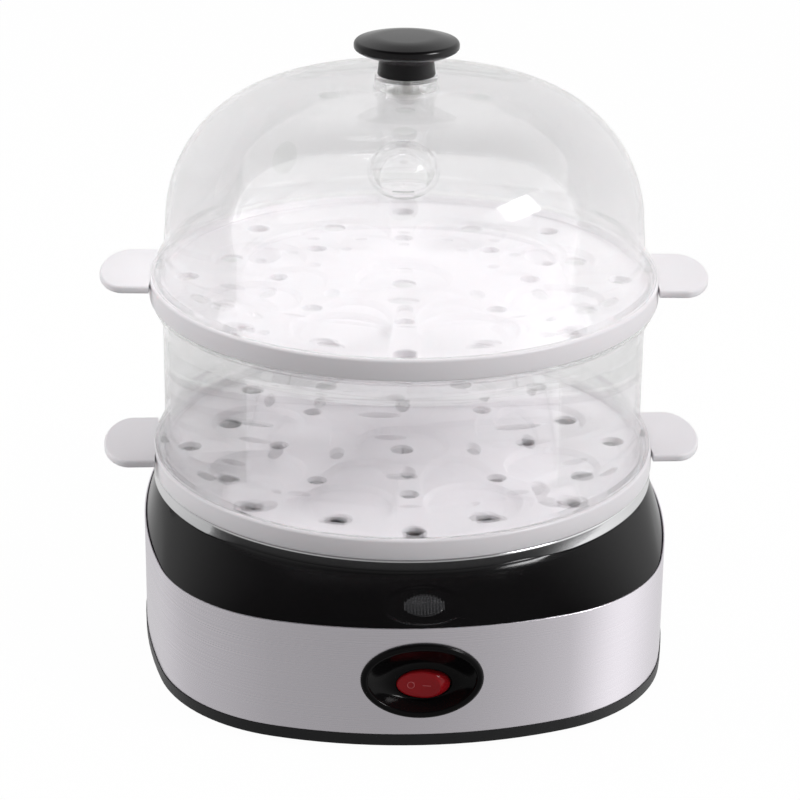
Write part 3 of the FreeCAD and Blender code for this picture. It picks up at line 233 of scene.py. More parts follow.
# Shape helpers
# A line through corners (u, v, radius) in millimetres, each corner rounded by short runs
def roundedLine(corners, turnStep=12.0):
    points = []
    for index, (u, v, radius) in enumerate(corners):
        here = Vector((u, v))
        if radius <= 0:
            points.append(here)
            continue
        before = Vector(corners[index - 1][:2]) - here
        after = Vector(corners[(index + 1) % len(corners)][:2]) - here
        half = before.angle(after) / 2
        if half > math.radians(89.5):
            points.append(here)
            continue
        reach = radius / math.tan(half)
        middle = here + (before.normalized() + after.normalized()).normalized() * radius / math.sin(half)
        first = here + before.normalized() * reach - middle
        last = here + after.normalized() * reach - middle
        turn = first.angle_signed(last)
        steps = max(2, math.ceil(abs(math.degrees(turn)) / turnStep - 0.01))
        for step in range(steps + 1):
            points.append(middle + Matrix.Rotation(-turn * step / steps, 2) @ first)
    return points


def putIn(mesh, work):
    work.to_mesh(mesh)
    work.free()
    return mesh


# Points closer than this made one, and every face turned outwards
def welded(mesh, distance):
    work = bmesh.new()
    work.from_mesh(mesh)
    bmesh.ops.remove_doubles(work, verts=work.verts, dist=distance)
    bmesh.ops.recalc_face_normals(work, faces=work.faces)
    return putIn(mesh, work)


def tidyMesh(mesh, sharpDegrees=32.0):
    welded(mesh, 1e-6)
    mesh.shade_smooth()
    mesh.set_sharp_from_angle(angle=math.radians(sharpDegrees))
    return mesh


def addObject(name, mesh):
    made = bpy.data.objects.new(name, mesh)
    bpy.context.scene.collection.objects.link(made)
    return made


def addPiece(name, mesh, slotName, body, *replaced):
    made = addObject(name, mesh)
    mesh.materials.clear()
    mesh.materials.append(finish[slotName])
    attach(made, body)
    if replaced:
        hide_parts(*replaced)
    print("piece:", name, len(mesh.polygons), "faces")
    return made


# The modifiers of a helper object turned into a plain mesh, and the helper removed
def settled(helper):
    bpy.context.view_layer.update()
    seen = helper.evaluated_get(bpy.context.evaluated_depsgraph_get())
    mesh = bpy.data.meshes.new_from_object(seen)
    bpy.data.objects.remove(helper)
    return mesh


# Solids added to or cut from a mesh, one after the other
def worked(name, mesh, tools):
    body = addObject(name + "Helper", mesh)
    helpers = []
    for operation, tool in tools:
        helper = addObject(name + "Tool" + str(len(helpers)), tool)
        change = body.modifiers.new("tool", "BOOLEAN")
        change.operation = operation
        change.object = helper
        change.solver = "EXACT"
        helpers.append(helper)
    made = settled(body)
    for helper in helpers:
        bpy.data.objects.remove(helper)
    made.name = name
    return made


# A straight tool along Y with an oval section
def ovalTool(halfWide, halfTall, z, front, rear):
    rows = []
    for wide, tall, y in ((1e-4, 1e-4, front), (halfWide, halfTall, front), (halfWide, halfTall, rear),
                          (1e-4, 1e-4, rear)):
        rows.append([(wide * math.cos(a) * mm, y * mm, (z + tall * math.sin(a)) * mm)
                     for a in evenAngles(96)])
    return welded(gridMesh("ovalTool", rows), 2e-6)


def evenAngles(count):
    return [math.tau * k / count for k in range(count)]


# A skin over rows of points, each row a closed loop
def gridMesh(name, rows, closeRows=False):
    mesh = bpy.data.meshes.new(name)
    width = len(rows[0])
    faces = []
    for r in range(len(rows) if closeRows else len(rows) - 1):
        here, following = r * width, (r + 1) % len(rows) * width
        for c in range(width):
            beside = (c + 1) % width
            faces.append((here + c, here + beside, following + beside, following + c))
    mesh.from_pydata([tuple(point) for row in rows for point in row], [], faces)
    return mesh


# Geometry node trees
def newTree(name, inputs):
    return newGroup(name, "GeometryNodeTree", inputs, [("Geometry", "Geometry")])


def endTree(tree, end, geometry, material):
    real = addNode(tree, "GeometryNodeRealizeInstances", {0: geometry})
    painted = addNode(tree, "GeometryNodeSetMaterial", {"Geometry": real.outputs[0], "Material": material})
    tree.links.new(painted.outputs[0], end["Geometry"])
    return tree


# A tree put on a helper object as a modifier, with the tree's inputs given by their names
def addTree(helper, tree, values):
    modifier = helper.modifiers.new(tree.name, "NODES")
    modifier.node_group = tree
    names = {item.name: item.identifier for item in tree.interface.items_tree if item.in_out == "INPUT"}
    for label, value in values.items():
        modifier[names[label]] = value


# A closed profile turned round the upright axis
def turnedTree():
    tree, given, end = newTree("turnedShape", [
        ("Profile", "Object", None), ("Steps", "Int", 192), ("Finish", "Material", None)])
    profile = addNode(tree, "GeometryNodeObjectInfo", {"Object": given["Profile"]})
    circle = addNode(tree, "GeometryNodeCurvePrimitiveCircle", {"Radius": mm, "Resolution": given["Steps"]})
    sweep = addNode(tree, "GeometryNodeCurveToMesh",
                    {"Curve": circle.outputs["Curve"], "Profile Curve": profile.outputs["Geometry"]})
    weld = addNode(tree, "GeometryNodeMergeByDistance", {"Geometry": sweep.outputs["Mesh"], "Distance": 1e-6})
    return endTree(tree, end, weld.outputs["Geometry"], given["Finish"])


turnedShape = turnedTree()


def turnedMesh(name, corners, slotName, steps=192, turnStep=12.0):
    line = roundedLine(corners, turnStep)
    curve = bpy.data.curves.new(name + "Profile", "CURVE")
    curve.dimensions = "3D"
    spline = curve.splines.new("POLY")
    spline.points.add(len(line) - 1)
    for point, (r, z) in zip(spline.points, line):
        point.co = ((r - 1.0) * mm, -z * mm, 0.0, 1.0)
    spline.use_cyclic_u = True
    profile = addObject(name + "Profile", curve)
    helper = addObject(name + "Helper", bpy.data.meshes.new(name + "Empty"))
    addTree(helper, turnedShape, {"Profile": profile, "Steps": steps, "Finish": finish[slotName]})
    mesh = settled(helper)
    bpy.data.objects.remove(profile)
    mesh.name = name
    mesh.transform(Matrix.Translation((0, stackY * mm, 0)))
    return tidyMesh(mesh)


# Rings of round tools cut from a body: seats with leaning sides and straight holes
def seatsTree():
    tree, given, end = newTree("seatsAndHoles", [
        ("Geometry", "Geometry", None), ("Count", "Int", 8),
        ("Seat Circle", "Float", 0.057), ("Seat Radius", "Float", 0.0175), ("Seat Taper", "Float", 0.0016),
        ("Seat Depth", "Float", 0.0022), ("Seat Wall", "Float", 0.0011), ("Outer Hole", "Float", 0.0043),
        ("Outer Circle", "Float", 0.0773), ("Seat Hole Circle", "Float", 0.0683),
        ("Inner Hole", "Float", 0.0036), ("Inner Circle", "Float", 0.045), ("Finish", "Material", None)])

    def number(operation, a, b):
        return mathNode(tree, operation, a, b)

    # places for as many tools as the count says, the first in front or half a step from it
    def ring(radius, halfStep):
        circle = addNode(tree, "GeometryNodeMeshCircle", {"Vertices": given["Count"], "Radius": radius})
        step = number("DIVIDE", math.tau, given["Count"])
        angle = number("ADD", -math.pi / 2, number("MULTIPLY", step, 0.5 if halfStep else 0.0))
        turn = addNode(tree, "ShaderNodeCombineXYZ", {"Z": angle}).outputs[0]
        return addNode(tree, "GeometryNodeTransform", {0: circle.outputs[0], "Rotation": turn}).outputs[0]

    def onRing(points, tool):
        spread = addNode(tree, "GeometryNodeInstanceOnPoints", {"Points": points, "Instance": tool})
        return addNode(tree, "GeometryNodeRealizeInstances", {0: spread.outputs[0]}).outputs[0]

    def lifted(geometry, height):
        lift = addNode(tree, "ShaderNodeCombineXYZ", {"Z": height}).outputs[0]
        return addNode(tree, "GeometryNodeTransform", {0: geometry, "Translation": lift}).outputs[0]

    def drill(radius):
        return addNode(tree, "GeometryNodeMeshCylinder",
                       {"Vertices": 48, "Depth": 0.02, "Radius": radius}).outputs["Mesh"]

    def together(*shapes):
        joined = addNode(tree, "GeometryNodeJoinGeometry")
        for shape in shapes:
            tree.links.new(shape, joined.inputs[0])
        return joined.outputs[0]

    def solid(operation, body, tool):
        made = addNode(tree, "GeometryNodeMeshBoolean", operation=operation, solver="EXACT")
        tree.links.new(body, made.inputs["Mesh 2" if operation == "UNION" else "Mesh 1"])
        tree.links.new(tool, made.inputs["Mesh 2"])
        return made.outputs["Mesh"]

    # the boss under each seat hangs below the plate
    overlap = 0.0005
    reach = number("ADD", given["Seat Depth"], given["Seat Wall"])
    boss = addNode(tree, "GeometryNodeMeshCylinder", {
        "Vertices": 96, "Radius": number("ADD", given["Seat Radius"], given["Seat Wall"]),
        "Depth": number("SUBTRACT", reach, overlap)})
    bossTool = lifted(boss.outputs["Mesh"], number("MULTIPLY", number("ADD", reach, overlap), -0.5))

    # the seat is sunk by a cone that starts as far above the plate as it goes below it
    seat = addNode(tree, "GeometryNodeMeshCone", {
        "Vertices": 96, "Radius Top": number("ADD", given["Seat Radius"], given["Seat Taper"]),
        "Radius Bottom": number("SUBTRACT", given["Seat Radius"], given["Seat Taper"]),
        "Depth": number("MULTIPLY", given["Seat Depth"], 2.0)})
    seatTool = lifted(seat.outputs["Mesh"], number("MULTIPLY", given["Seat Depth"], -1.0))

    bosses = together(onRing(ring(given["Seat Circle"], True), bossTool), bossTool)
    seats = together(onRing(ring(given["Seat Circle"], True), seatTool), seatTool)
    holes = together(onRing(ring(given["Outer Circle"], False), drill(given["Outer Hole"])),
                     onRing(ring(given["Seat Hole Circle"], True), drill(given["Outer Hole"])),
                     onRing(ring(given["Inner Circle"], False), drill(given["Inner Hole"])),
                     drill(given["Outer Hole"]))
    joined = solid("UNION", given["Geometry"], bosses)
    pierced = solid("DIFFERENCE", solid("DIFFERENCE", joined, seats), holes)
    return endTree(tree, end, pierced, given["Finish"])


seatsAndHoles = seatsTree()


# Bars across an oval, each as long as the oval is there
def ribsTree():
    tree, given, end = newTree("lensRibs", [
        ("Ribs", "Int", 9), ("Half Width", "Float", 0.006), ("Half Length", "Float", 0.004),
        ("Rib Radius", "Float", 0.0003), ("Crown", "Float", 0.0009), ("Finish", "Material", None)])

    def number(operation, a, b):
        return mathNode(tree, operation, a, b)

    ends = [addNode(tree, "ShaderNodeCombineXYZ", {"X": number("MULTIPLY", given["Half Width"], share)})
            for share in (-0.9, 0.9)]
    line = addNode(tree, "GeometryNodeMeshLine", {
        "Count": given["Ribs"], "Start Location": ends[0].outputs[0], "Offset": ends[1].outputs[0]},
        mode="END_POINTS")
    place = addNode(tree, "ShaderNodeSeparateXYZ", {0: addNode(tree, "GeometryNodeInputPosition").outputs[0]})
    share = number("DIVIDE", place.outputs["X"], given["Half Width"])
    rest = number("SUBTRACT", 1.0, number("MULTIPLY", share, share))
    lift = addNode(tree, "ShaderNodeCombineXYZ", {"Z": number("MULTIPLY", rest, given["Crown"])})
    raised = addNode(tree, "GeometryNodeSetPosition",
                     {"Geometry": line.outputs["Mesh"], "Offset": lift.outputs[0]})
    bar = addNode(tree, "GeometryNodeMeshCylinder", {
        "Vertices": 12, "Radius": given["Rib Radius"],
        "Depth": number("MULTIPLY", given["Half Length"], 1.8)})
    laid = addNode(tree, "GeometryNodeTransform",
                   {"Geometry": bar.outputs["Mesh"], "Rotation": (math.pi / 2, 0, 0)})
    size = addNode(tree, "ShaderNodeCombineXYZ", {"X": 1.0, "Y": number("SQRT", rest, 0.0), "Z": 1.0})
    spread = addNode(tree, "GeometryNodeInstanceOnPoints", {
        "Points": raised.outputs["Geometry"], "Instance": laid.outputs["Geometry"], "Scale": size.outputs[0]})
    return endTree(tree, end, spread.outputs["Instances"], given["Finish"])


lensRibs = ribsTree()
print("trees ready")


# Base
base = {
    "halfWidth": 94.0, "halfDepth": 104.0, "centreY": -0.4,
    "frontArc": 148.0, "sideArc": 225.0, "cornerArc": 59.5,
    "bandLow": 5.9, "bandTop": 45.2, "bandWall": 0.6,
    "skirtInset": 0.65, "deckEdge": 44.8, "deckTop": 56.4, "deckTopRadius": 89.4,
    "wall": 2.2, "flange": 1.8, "dishHole": 84.9,
}


# Centres and meeting angles of the plan's front, corner and side arcs, right rear quarter
def planArcs():
    front = Vector((0.0, base["halfDepth"] - base["frontArc"]))
    side = Vector((base["halfWidth"] - base["sideArc"], 0.0))
    toFront = base["frontArc"] - base["cornerArc"]
    toSide = base["sideArc"] - base["cornerArc"]
    between = (side - front).length
    along = (toFront ** 2 - toSide ** 2 + between ** 2) / (2 * between)
    across = math.sqrt(toFront ** 2 - along ** 2)
    unit = (side - front) / between
    corner = front + unit * along + Vector((unit.y, -unit.x)) * across
    if corner.x < 0 or corner.y < 0:
        corner = front + unit * along - Vector((unit.y, -unit.x)) * across
    frontAngle = math.atan2(corner.y - front.y, corner.x - front.x)
    sideAngle = math.atan2(corner.y - side.y, corner.x - side.x)
    return front, side, corner, frontAngle, sideAngle


frontCentre, sideCentre, cornerCentre, frontAngle, sideAngle = planArcs()


# The plan's point whose outward direction has this angle, drawn in by inset
def planPoint(angle, inset):
    ux, uy = math.cos(angle), math.sin(angle)
    lean = math.atan2(abs(uy), abs(ux))
    if lean > frontAngle:
        centre, radius = frontCentre, base["frontArc"]
    elif lean > sideAngle:
        centre, radius = cornerCentre, base["cornerArc"]
    else:
        centre, radius = sideCentre, base["sideArc"]
    sx = 1 if ux >= 0 else -1
    sy = 1 if uy >= 0 else -1
    reach = radius - inset
    return Vector((sx * centre.x + reach * ux, sy * centre.y + reach * uy + base["centreY"]))


def sweptPlan(name, corners):
    line = roundedLine([(-inset, z, radius) for inset, z, radius in corners])
    rows = []
    for inward, z in line:
        row = [planPoint(a, -inward) for a in evenAngles(288)]
        rows.append([(p.x * mm, p.y * mm, z * mm) for p in row])
    return tidyMesh(gridMesh(name, rows, closeRows=True))


# Openings through the band and the housing behind it
switchHole = {"halfWidth": 18.7, "halfHeight": 11.75, "z": 26.2}
glandHole = {"radius": 5.6, "z": 19.0}


def wallHoles():
    front, rear = -base["halfDepth"] + base["centreY"], base["halfDepth"] + base["centreY"]
    return [("DIFFERENCE", ovalTool(switchHole["halfWidth"], switchHole["halfHeight"], switchHole["z"],
                                    front - 5, front + 20)),
            ("DIFFERENCE", ovalTool(glandHole["radius"], glandHole["radius"], glandHole["z"],
                                    rear - 10, rear + 5))]


bandMesh = sweptPlan("steelBand", [
    (0.0, base["bandLow"], 0.15), (0.0, base["bandTop"], 0.28),
    (base["bandWall"], base["bandTop"], 0.28), (base["bandWall"], base["bandLow"], 0.15)])
bandMesh = tidyMesh(worked("steelBand", bandMesh, wallHoles()))
addPiece("steelBand", bandMesh, "brushed_band", "base", "steel_band")

# Lamp place on the sloping deck, and the oval hollow round it
lamp = {"along": 0.41, "side": 0.9, "hollowHalfWidth": 14.4, "hollowHalfLength": 7.7, "depth": 0.35,
        "softness": 0.1, "halfWidth": 7.2, "halfLength": 4.5, "edge": -0.5, "low": -2.6, "crown": 0.9,
        "ribs": 13, "ribRadius": 0.26}
deckFront = planPoint(-math.pi / 2, base["skirtInset"]).y
deckFoot = Vector((0.0, deckFront, base["deckEdge"]))
deckHead = Vector((0.0, stackY - base["deckTopRadius"], base["deckTop"]))
lampPlace = deckFoot.lerp(deckHead, lamp["along"]) + Vector((lamp["side"], 0.0, 0.0))
deckUp = (deckHead - deckFoot).normalized()
deckOut = Vector((0.0, -deckUp.z, deckUp.y))


# A point of the deck pressed down where it lies in the oval hollow
def pressedIn(point):
    away = point - lampPlace
    across, along, over = away.x, away.dot(deckUp), away.dot(deckOut)
    share = math.hypot(across / lamp["hollowHalfWidth"], along / lamp["hollowHalfLength"])
    if share >= 1.0:
        return point
    blend = min(1.0, max(0.0, (share - (1.0 - lamp["softness"])) / lamp["softness"]))
    blend = blend * blend * (3 - 2 * blend)
    level = -lamp["depth"] * (1 - blend) + over * blend
    return point + deckOut * (level - over)


def softCorners(points, reaches, steps=5):
    made = []
    count = len(points)
    for index, (here, reach) in enumerate(zip(points, reaches)):
        if reach <= 0:
            made.append(here)
            continue
        start = here + (points[index - 1] - here).normalized() * reach
        end = here + (points[(index + 1) % count] - here).normalized() * reach
        for step in range(steps + 1):
            t = step / steps
            made.append(start * (1 - t) ** 2 + here * 2 * t * (1 - t) + end * t ** 2)
    return made


def housingMesh():
    dense = [math.radians(-90 + k * 0.16) for k in range(-75, 76)]
    rest = [math.radians(-78 + 336 * k / 240) for k in range(1, 240)]
    columns = []
    deckRows = 56
    for angle in dense + rest:
        out = Vector((math.cos(angle), math.sin(angle)))
        skirt = planPoint(angle, base["skirtInset"])
        inside = planPoint(angle, base["skirtInset"] + base["wall"])
        top = out * base["deckTopRadius"] + Vector((0, stackY))
        lip = out * base["dishHole"] + Vector((0, stackY))
        under = out * (base["deckTopRadius"] - base["wall"]) + Vector((0, stackY))
        outline = [Vector((skirt.x, skirt.y, base["bandLow"])), Vector((skirt.x, skirt.y, base["deckEdge"])),
                   Vector((top.x, top.y, base["deckTop"])), Vector((lip.x, lip.y, base["deckTop"])),
                   Vector((lip.x, lip.y, base["deckTop"] - base["flange"])),
                   Vector((under.x, under.y, base["deckTop"] - base["flange"])),
                   Vector((inside.x, inside.y, base["deckEdge"] - base["flange"])),
                   Vector((inside.x, inside.y, base["bandLow"]))]
        line = softCorners(outline, [0, 0.5, 0.8, 0.3, 0, 0, 0, 0])
        # the run from edge to top is cut into rows so that the hollow can be pressed into it
        foot, head = line[6], line[7]
        rows = [foot.lerp(head, k / deckRows) for k in range(1, deckRows)]
        line = line[:7] + [pressedIn(p) for p in rows] + line[7:]
        columns.append([tuple(p * mm) for p in line])
    rows = [[column[k] for column in columns] for k in range(len(columns[0]))]
    return tidyMesh(gridMesh("upperHousing", rows, closeRows=True), 40.0)


housing = tidyMesh(worked("upperHousing", housingMesh(), wallHoles()), 40.0)
addPiece("upperHousing", housing, "black_gloss", "base", "upper_housing")

dish = {"rimRadius": 90.4, "rimLean": 1.4, "leanFrom": -42.0, "leanTo": 25.0, "leanFade": 11.0,
        "wallRadius": 83.6, "sheet": 1.0, "top": 61.2, "low": 56.4, "floor": 47.2, "corner": 9.0,
        "centreRadius": 21.0, "centreRise": 1.0}
dishCorners = [
    (dish["rimRadius"] - dish["rimLean"], dish["low"], 0), (dish["rimRadius"], dish["top"] - 0.6, 0.6),
    (dish["rimRadius"] - 0.6, dish["top"], 0.6),
    (dish["wallRadius"], dish["top"], 0.9), (dish["wallRadius"], dish["floor"], dish["corner"]),
    (dish["centreRadius"] + 2, dish["floor"], 0.8),
    (dish["centreRadius"], dish["floor"] + dish["centreRise"], 0.8),
    (0, dish["floor"] + dish["centreRise"], 0), (0, dish["floor"] - dish["sheet"], 0),
    (dish["wallRadius"] + dish["sheet"], dish["floor"] - dish["sheet"], dish["corner"] + dish["sheet"]),
    (dish["wallRadius"] + dish["sheet"], dish["top"] - dish["sheet"], 0.5),
    (dish["rimRadius"] - dish["sheet"], dish["top"] - dish["sheet"], 0.5),
    (dish["rimRadius"] - dish["rimLean"] - dish["sheet"], dish["low"], 0)]


# The rim's wall leans in at the front, where it mirrors the deck, and stands upright at the sides
def dishMesh():
    mesh = turnedMesh("heatingDish", dishCorners, "polished_dish", turnStep=9.0)
    for vertex in mesh.vertices:
        x, y = vertex.co.x / mm, vertex.co.y / mm - stackY
        radius = math.hypot(x, y)
        if abs(vertex.co.z / mm - dish["low"]) > 0.01 or radius < dish["wallRadius"] + 3:
            continue
        away = math.degrees(math.atan2(x, -y))
        beyond = max(dish["leanFrom"] - away, away - dish["leanTo"], 0.0) / dish["leanFade"]
        out = dish["rimLean"] * min(1.0, beyond) / radius
        vertex.co.x += x * out * mm
        vertex.co.y += y * out * mm
    return tidyMesh(mesh)


addPiece("heatingDish", dishMesh(), "polished_dish", "base", "heating_dish")


# Lamp lens
def lensMesh():
    edge = lamp["edge"]
    rings = 20
    rows = []
    for ring in range(rings + 1):
        share = max(1e-4, ring / rings)
        level = edge + lamp["crown"] * (1 - share ** 2) - 0.25 * max(0.0, share - 0.9) / 0.1
        rows.append((share, level))
    rows += [(1.0, lamp["low"]), (1e-4, lamp["low"])]
    made = []
    for share, level in rows:
        row = []
        for angle in evenAngles(96):
            across = lamp["halfWidth"] * share * math.cos(angle)
            along = lamp["halfLength"] * share * math.sin(angle)
            row.append((lampPlace + Vector((across, 0, 0)) + deckUp * along + deckOut * level) * mm)
        made.append(row)
    return tidyMesh(welded(gridMesh("lampLens", made), 4e-6), 40.0)


def lensRibMesh():
    helper = addObject("ribHelper", bpy.data.meshes.new("ribEmpty"))
    addTree(helper, lensRibs, {"Ribs": lamp["ribs"], "Half Width": lamp["halfWidth"] * mm,
                               "Half Length": lamp["halfLength"] * mm, "Rib Radius": lamp["ribRadius"] * mm,
                               "Crown": lamp["crown"] * mm, "Finish": finish["clear_lens"]})
    mesh = settled(helper)
    turn = Matrix.Rotation(math.atan2(deckUp.z, deckUp.y), 4, "X")
    mesh.transform(Matrix.Translation((lampPlace + deckOut * lamp["edge"]) * mm) @ turn)
    return tidyMesh(mesh)


addPiece("lampLens", lensMesh(), "clear_lens", "base", "lamp_lens")
addPiece("lampLensRibs", lensRibMesh(), "clear_lens", "base")


# Switch
switch = {"z": 26.2, "halfWidth": 20.6, "halfHeight": 13.65, "proud": 1.6, "lip": 2.4, "edge": 0.5,
          "lipDrop": 0.9, "depth": 5.0, "back": 8.4, "windowHalfWidth": 9.25,
          "windowHalfHeight": 5.4, "windowDrop": 3.9, "windowSide": 0.9}
frontY = planPoint(-math.pi / 2, 0.0).y


def bandFrontY(x):
    return frontY + base["frontArc"] - math.sqrt(base["frontArc"] ** 2 - x ** 2)


def bezelMesh():
    # each row: half width, half height, level behind the band face, share of the band's bend and of the drop
    wide, tall, proud, lipDrop = (switch[label] for label in ("halfWidth", "halfHeight", "proud", "lipDrop"))
    edge = switch["edge"]
    rows = [(wide, tall, 0.2, 1.0, 0.0), (wide, tall, -edge, 1.0, 0.0)]
    for k in range(1, 7):
        angle = math.pi / 2 * k / 6
        inward = switch["lip"] / 2 * (1 - math.cos(angle))
        rows.append((wide - inward, tall - inward, -edge - (proud - edge) * math.sin(angle), 1.0, 0.0))
    for k in range(1, 7):
        angle = math.pi / 2 * k / 6
        inward = switch["lip"] / 2 * (1 + math.sin(angle))
        rows.append((wide - inward, tall - inward, -proud + lipDrop * (1 - math.cos(angle)), 1.0, 0.0))
    startWide, startTall = rows[-1][0], rows[-1][1]
    for k in range(1, 21):
        t = k / 20
        sink = math.sin(t * math.pi / 2)
        rows.append((startWide + (switch["windowHalfWidth"] + 0.25 - startWide) * t,
                     startTall + (switch["windowHalfHeight"] + 0.25 - startTall) * t,
                     -proud + lipDrop + (switch["depth"] + proud - lipDrop) * sink, 1.0 - t, t))
    window = (switch["windowHalfWidth"], switch["windowHalfHeight"])
    rows += [(*window, switch["depth"] + 0.25, 0.0, 1.0), (*window, switch["back"], 0.0, 1.0),
             (wide - 1.6, tall - 1.6, switch["back"], 0.0, 0.0), (wide - 1.6, tall - 1.6, 0.2, 1.0, 0.0)]
    made = []
    for halfWide, halfTall, level, follow, drop in rows:
        row = []
        for angle in evenAngles(160):
            x = halfWide * math.cos(angle) + switch["windowSide"] * drop
            z = halfTall * math.sin(angle) - switch["windowDrop"] * drop
            y = frontY + (bandFrontY(x) - frontY) * follow + level
            row.append((x * mm, y * mm, (switch["z"] + z) * mm))
        made.append(row)
    return tidyMesh(gridMesh("switchBezel", made, closeRows=True), 38.0)


bezel = addPiece("switchBezel", bezelMesh(), "black_gloss", "base", "switch_bezel")
bezel.data.materials[0] = finish["switch_black"]

rocker = {"x": 0.9, "z": 22.3, "halfLength": 8.9, "halfHeight": 5.0, "proud": 4.0, "hollow": 0.9,
          "edge": 0.9, "raisedEdge": 2.7, "raisedDrop": 3.4, "back": 6.0, "tilt": -10.0,
          "pivotBehind": 6.7, "ringPlace": -3.9, "ringSize": 1.15, "dashPlace": 1.4,
          "dashHalf": 1.4, "markLine": 0.14}
rockerTurn = (Matrix.Translation(Vector((rocker["x"], frontY + rocker["pivotBehind"], rocker["z"])) * mm)
              @ Matrix.Rotation(math.radians(rocker["tilt"]), 4, "Z"))


def rockerFace(x):
    return -rocker["proud"] + rocker["hollow"] * (1 - (x / rocker["halfLength"]) ** 2)


def rockerMesh():
    rings, bends = 22, 8
    made = []
    for step in range(rings + bends + 1):
        slant = max(0, step - rings) / bends
        bend = math.pi / 2 * slant
        row = []
        for angle in evenAngles(120):
            # the raised right end is cut off slanting, the rest is rounded
            right = max(0.0, math.cos(angle)) ** 2
            reach = rocker["edge"] + (rocker["raisedEdge"] - rocker["edge"]) * right
            depth = rocker["edge"] + (rocker["raisedDrop"] - rocker["edge"]) * right
            drop = depth * ((1 - math.cos(bend)) * (1 - right) + slant * right)
            wide, tall = rocker["halfLength"] * math.cos(angle), rocker["halfHeight"] * math.sin(angle)
            inner = 1 - reach / math.hypot(wide, tall)
            outward = math.sin(bend) * (1 - right) + slant * right
            share = inner * max(1e-4, min(1.0, step / rings)) + (1 - inner) * outward
            row.append((wide * share * mm, (rockerFace(wide * share) + drop) * mm, tall * share * mm))
        made.append(row)
    for share, back in ((0.96, 3.8), (0.8, rocker["back"]), (1e-4, rocker["back"])):
        made.append([(rocker["halfLength"] * share * math.cos(a) * mm, back * mm,
                      rocker["halfHeight"] * share * math.sin(a) * mm) for a in evenAngles(120)])
    mesh = welded(gridMesh("switchRocker", made), 3e-6)
    mesh.transform(rockerTurn)
    return tidyMesh(mesh, 50.0)


# The round and straight marks of off and on, a hair proud of the face
def markMesh():
    work = bmesh.new()
    line = rocker["markLine"]

    # a loop round the drawn line's middle, where its place and height on the face are given for each side
    def loop(spot):
        corners = [(*spot(side), side) for side in evenAngles(8)]
        return [work.verts.new(Vector((x, rockerFace(x) - 0.5 * line * math.sin(side), z)) * mm)
                for x, z, side in corners]

    def skin(loops):
        for a, b in zip(loops, loops[1:]):
            for j in range(8):
                work.faces.new((a[j], b[j], b[(j + 1) % 8], a[(j + 1) % 8]))

    def onRing(angle, side):
        reach = rocker["ringSize"] + line * math.cos(side)
        return rocker["ringPlace"] + reach * math.cos(angle), reach * math.sin(angle)

    ring = [loop(lambda side, angle=angle: onRing(angle, side)) for angle in evenAngles(40)]
    skin(ring + ring[:1])
    places = [rocker["dashPlace"] + rocker["dashHalf"] * (step / 4 - 1) for step in range(9)]
    dash = [loop(lambda side, x=x: (x, line * math.cos(side))) for x in places]
    skin(dash)
    work.faces.new(dash[0])
    work.faces.new(dash[-1])
    mesh = putIn(bpy.data.meshes.new("rockerMarks"), work)
    mesh.transform(rockerTurn)
    return tidyMesh(mesh)


addPiece("switchRocker", rockerMesh(), "red_rocker", "rocker", "switch_rocker")
marks = addPiece("rockerMarks", markMesh(), "red_rocker", "rocker")
marks.data.materials[0] = finish["rocker_mark"]


# Trays
tray = {"rimRadius": 90.6, "rimHeight": 7.4, "rimWall": 2.4, "plateDrop": 3.4, "plateThick": 2.0,
        "skirtRadius": 83.1, "skirtWall": 1.3, "skirtDrop": 3.0,
        "earTip": 108.3, "earHalfWidth": 20.6, "earEndDepth": 10.0, "earThick": 2.8, "earDrop": 0.2,
        "earEdge": 0.9, "softEdge": 0.35}
seatCount = 8
seatSizes = {"Seat Circle": 57.0, "Seat Radius": 17.5, "Seat Taper": 1.6, "Seat Depth": 2.2, "Seat Wall": 1.1,
             "Outer Hole": 4.3, "Outer Circle": 77.3, "Seat Hole Circle": 68.3, "Inner Hole": 3.6,
             "Inner Circle": 45.0}


# One ear: a thin tongue with straight sides, an oval end and rounded edges
def earRows():
    top = tray["rimHeight"] - tray["earDrop"]
    low = top - tray["earThick"]
    edge = tray["earEdge"]
    root = tray["rimRadius"] - tray["rimWall"] / 2

    def outline(inset, z):
        half = tray["earHalfWidth"] - inset
        reach = tray["earEndDepth"] - inset
        endX = tray["earTip"] - tray["earEndDepth"]
        row = [Vector((root, -half, z))]
        for step in range(33):
            angle = math.pi * (step / 32 - 0.5)
            row.append(Vector((endX + reach * math.cos(angle), half * math.sin(angle), z)))
        return row + [Vector((root, half, z))]

    rows = []
    for k in range(5):
        angle = math.pi / 2 * k / 4
        rows.append(outline(edge * (1 - math.sin(angle)), low + edge * (1 - math.cos(angle))))
    for k in range(5):
        angle = math.pi / 2 * k / 4
        rows.append(outline(edge * (1 - math.cos(angle)), top - edge + edge * math.sin(angle)))
    return rows


def earMesh(side):
    rows = earRows()
    work = bmesh.new()
    made = [[work.verts.new(p * mm) for p in row] for row in rows]
    for a, b in zip(made, made[1:]):
        for j in range(len(a) - 1):
            work.faces.new((a[j], a[j + 1], b[j + 1], b[j]))
    work.faces.new(made[0])
    work.faces.new(made[-1])
    work.faces.new([row[0] for row in made] + [row[-1] for row in reversed(made)])
    bmesh.ops.triangulate(work, faces=[f for f in work.faces if len(f.verts) > 4])
    mesh = putIn(bpy.data.meshes.new("ear"), work)
    mesh.transform(Matrix.Rotation(math.pi * side, 4, "Z"))
    return mesh


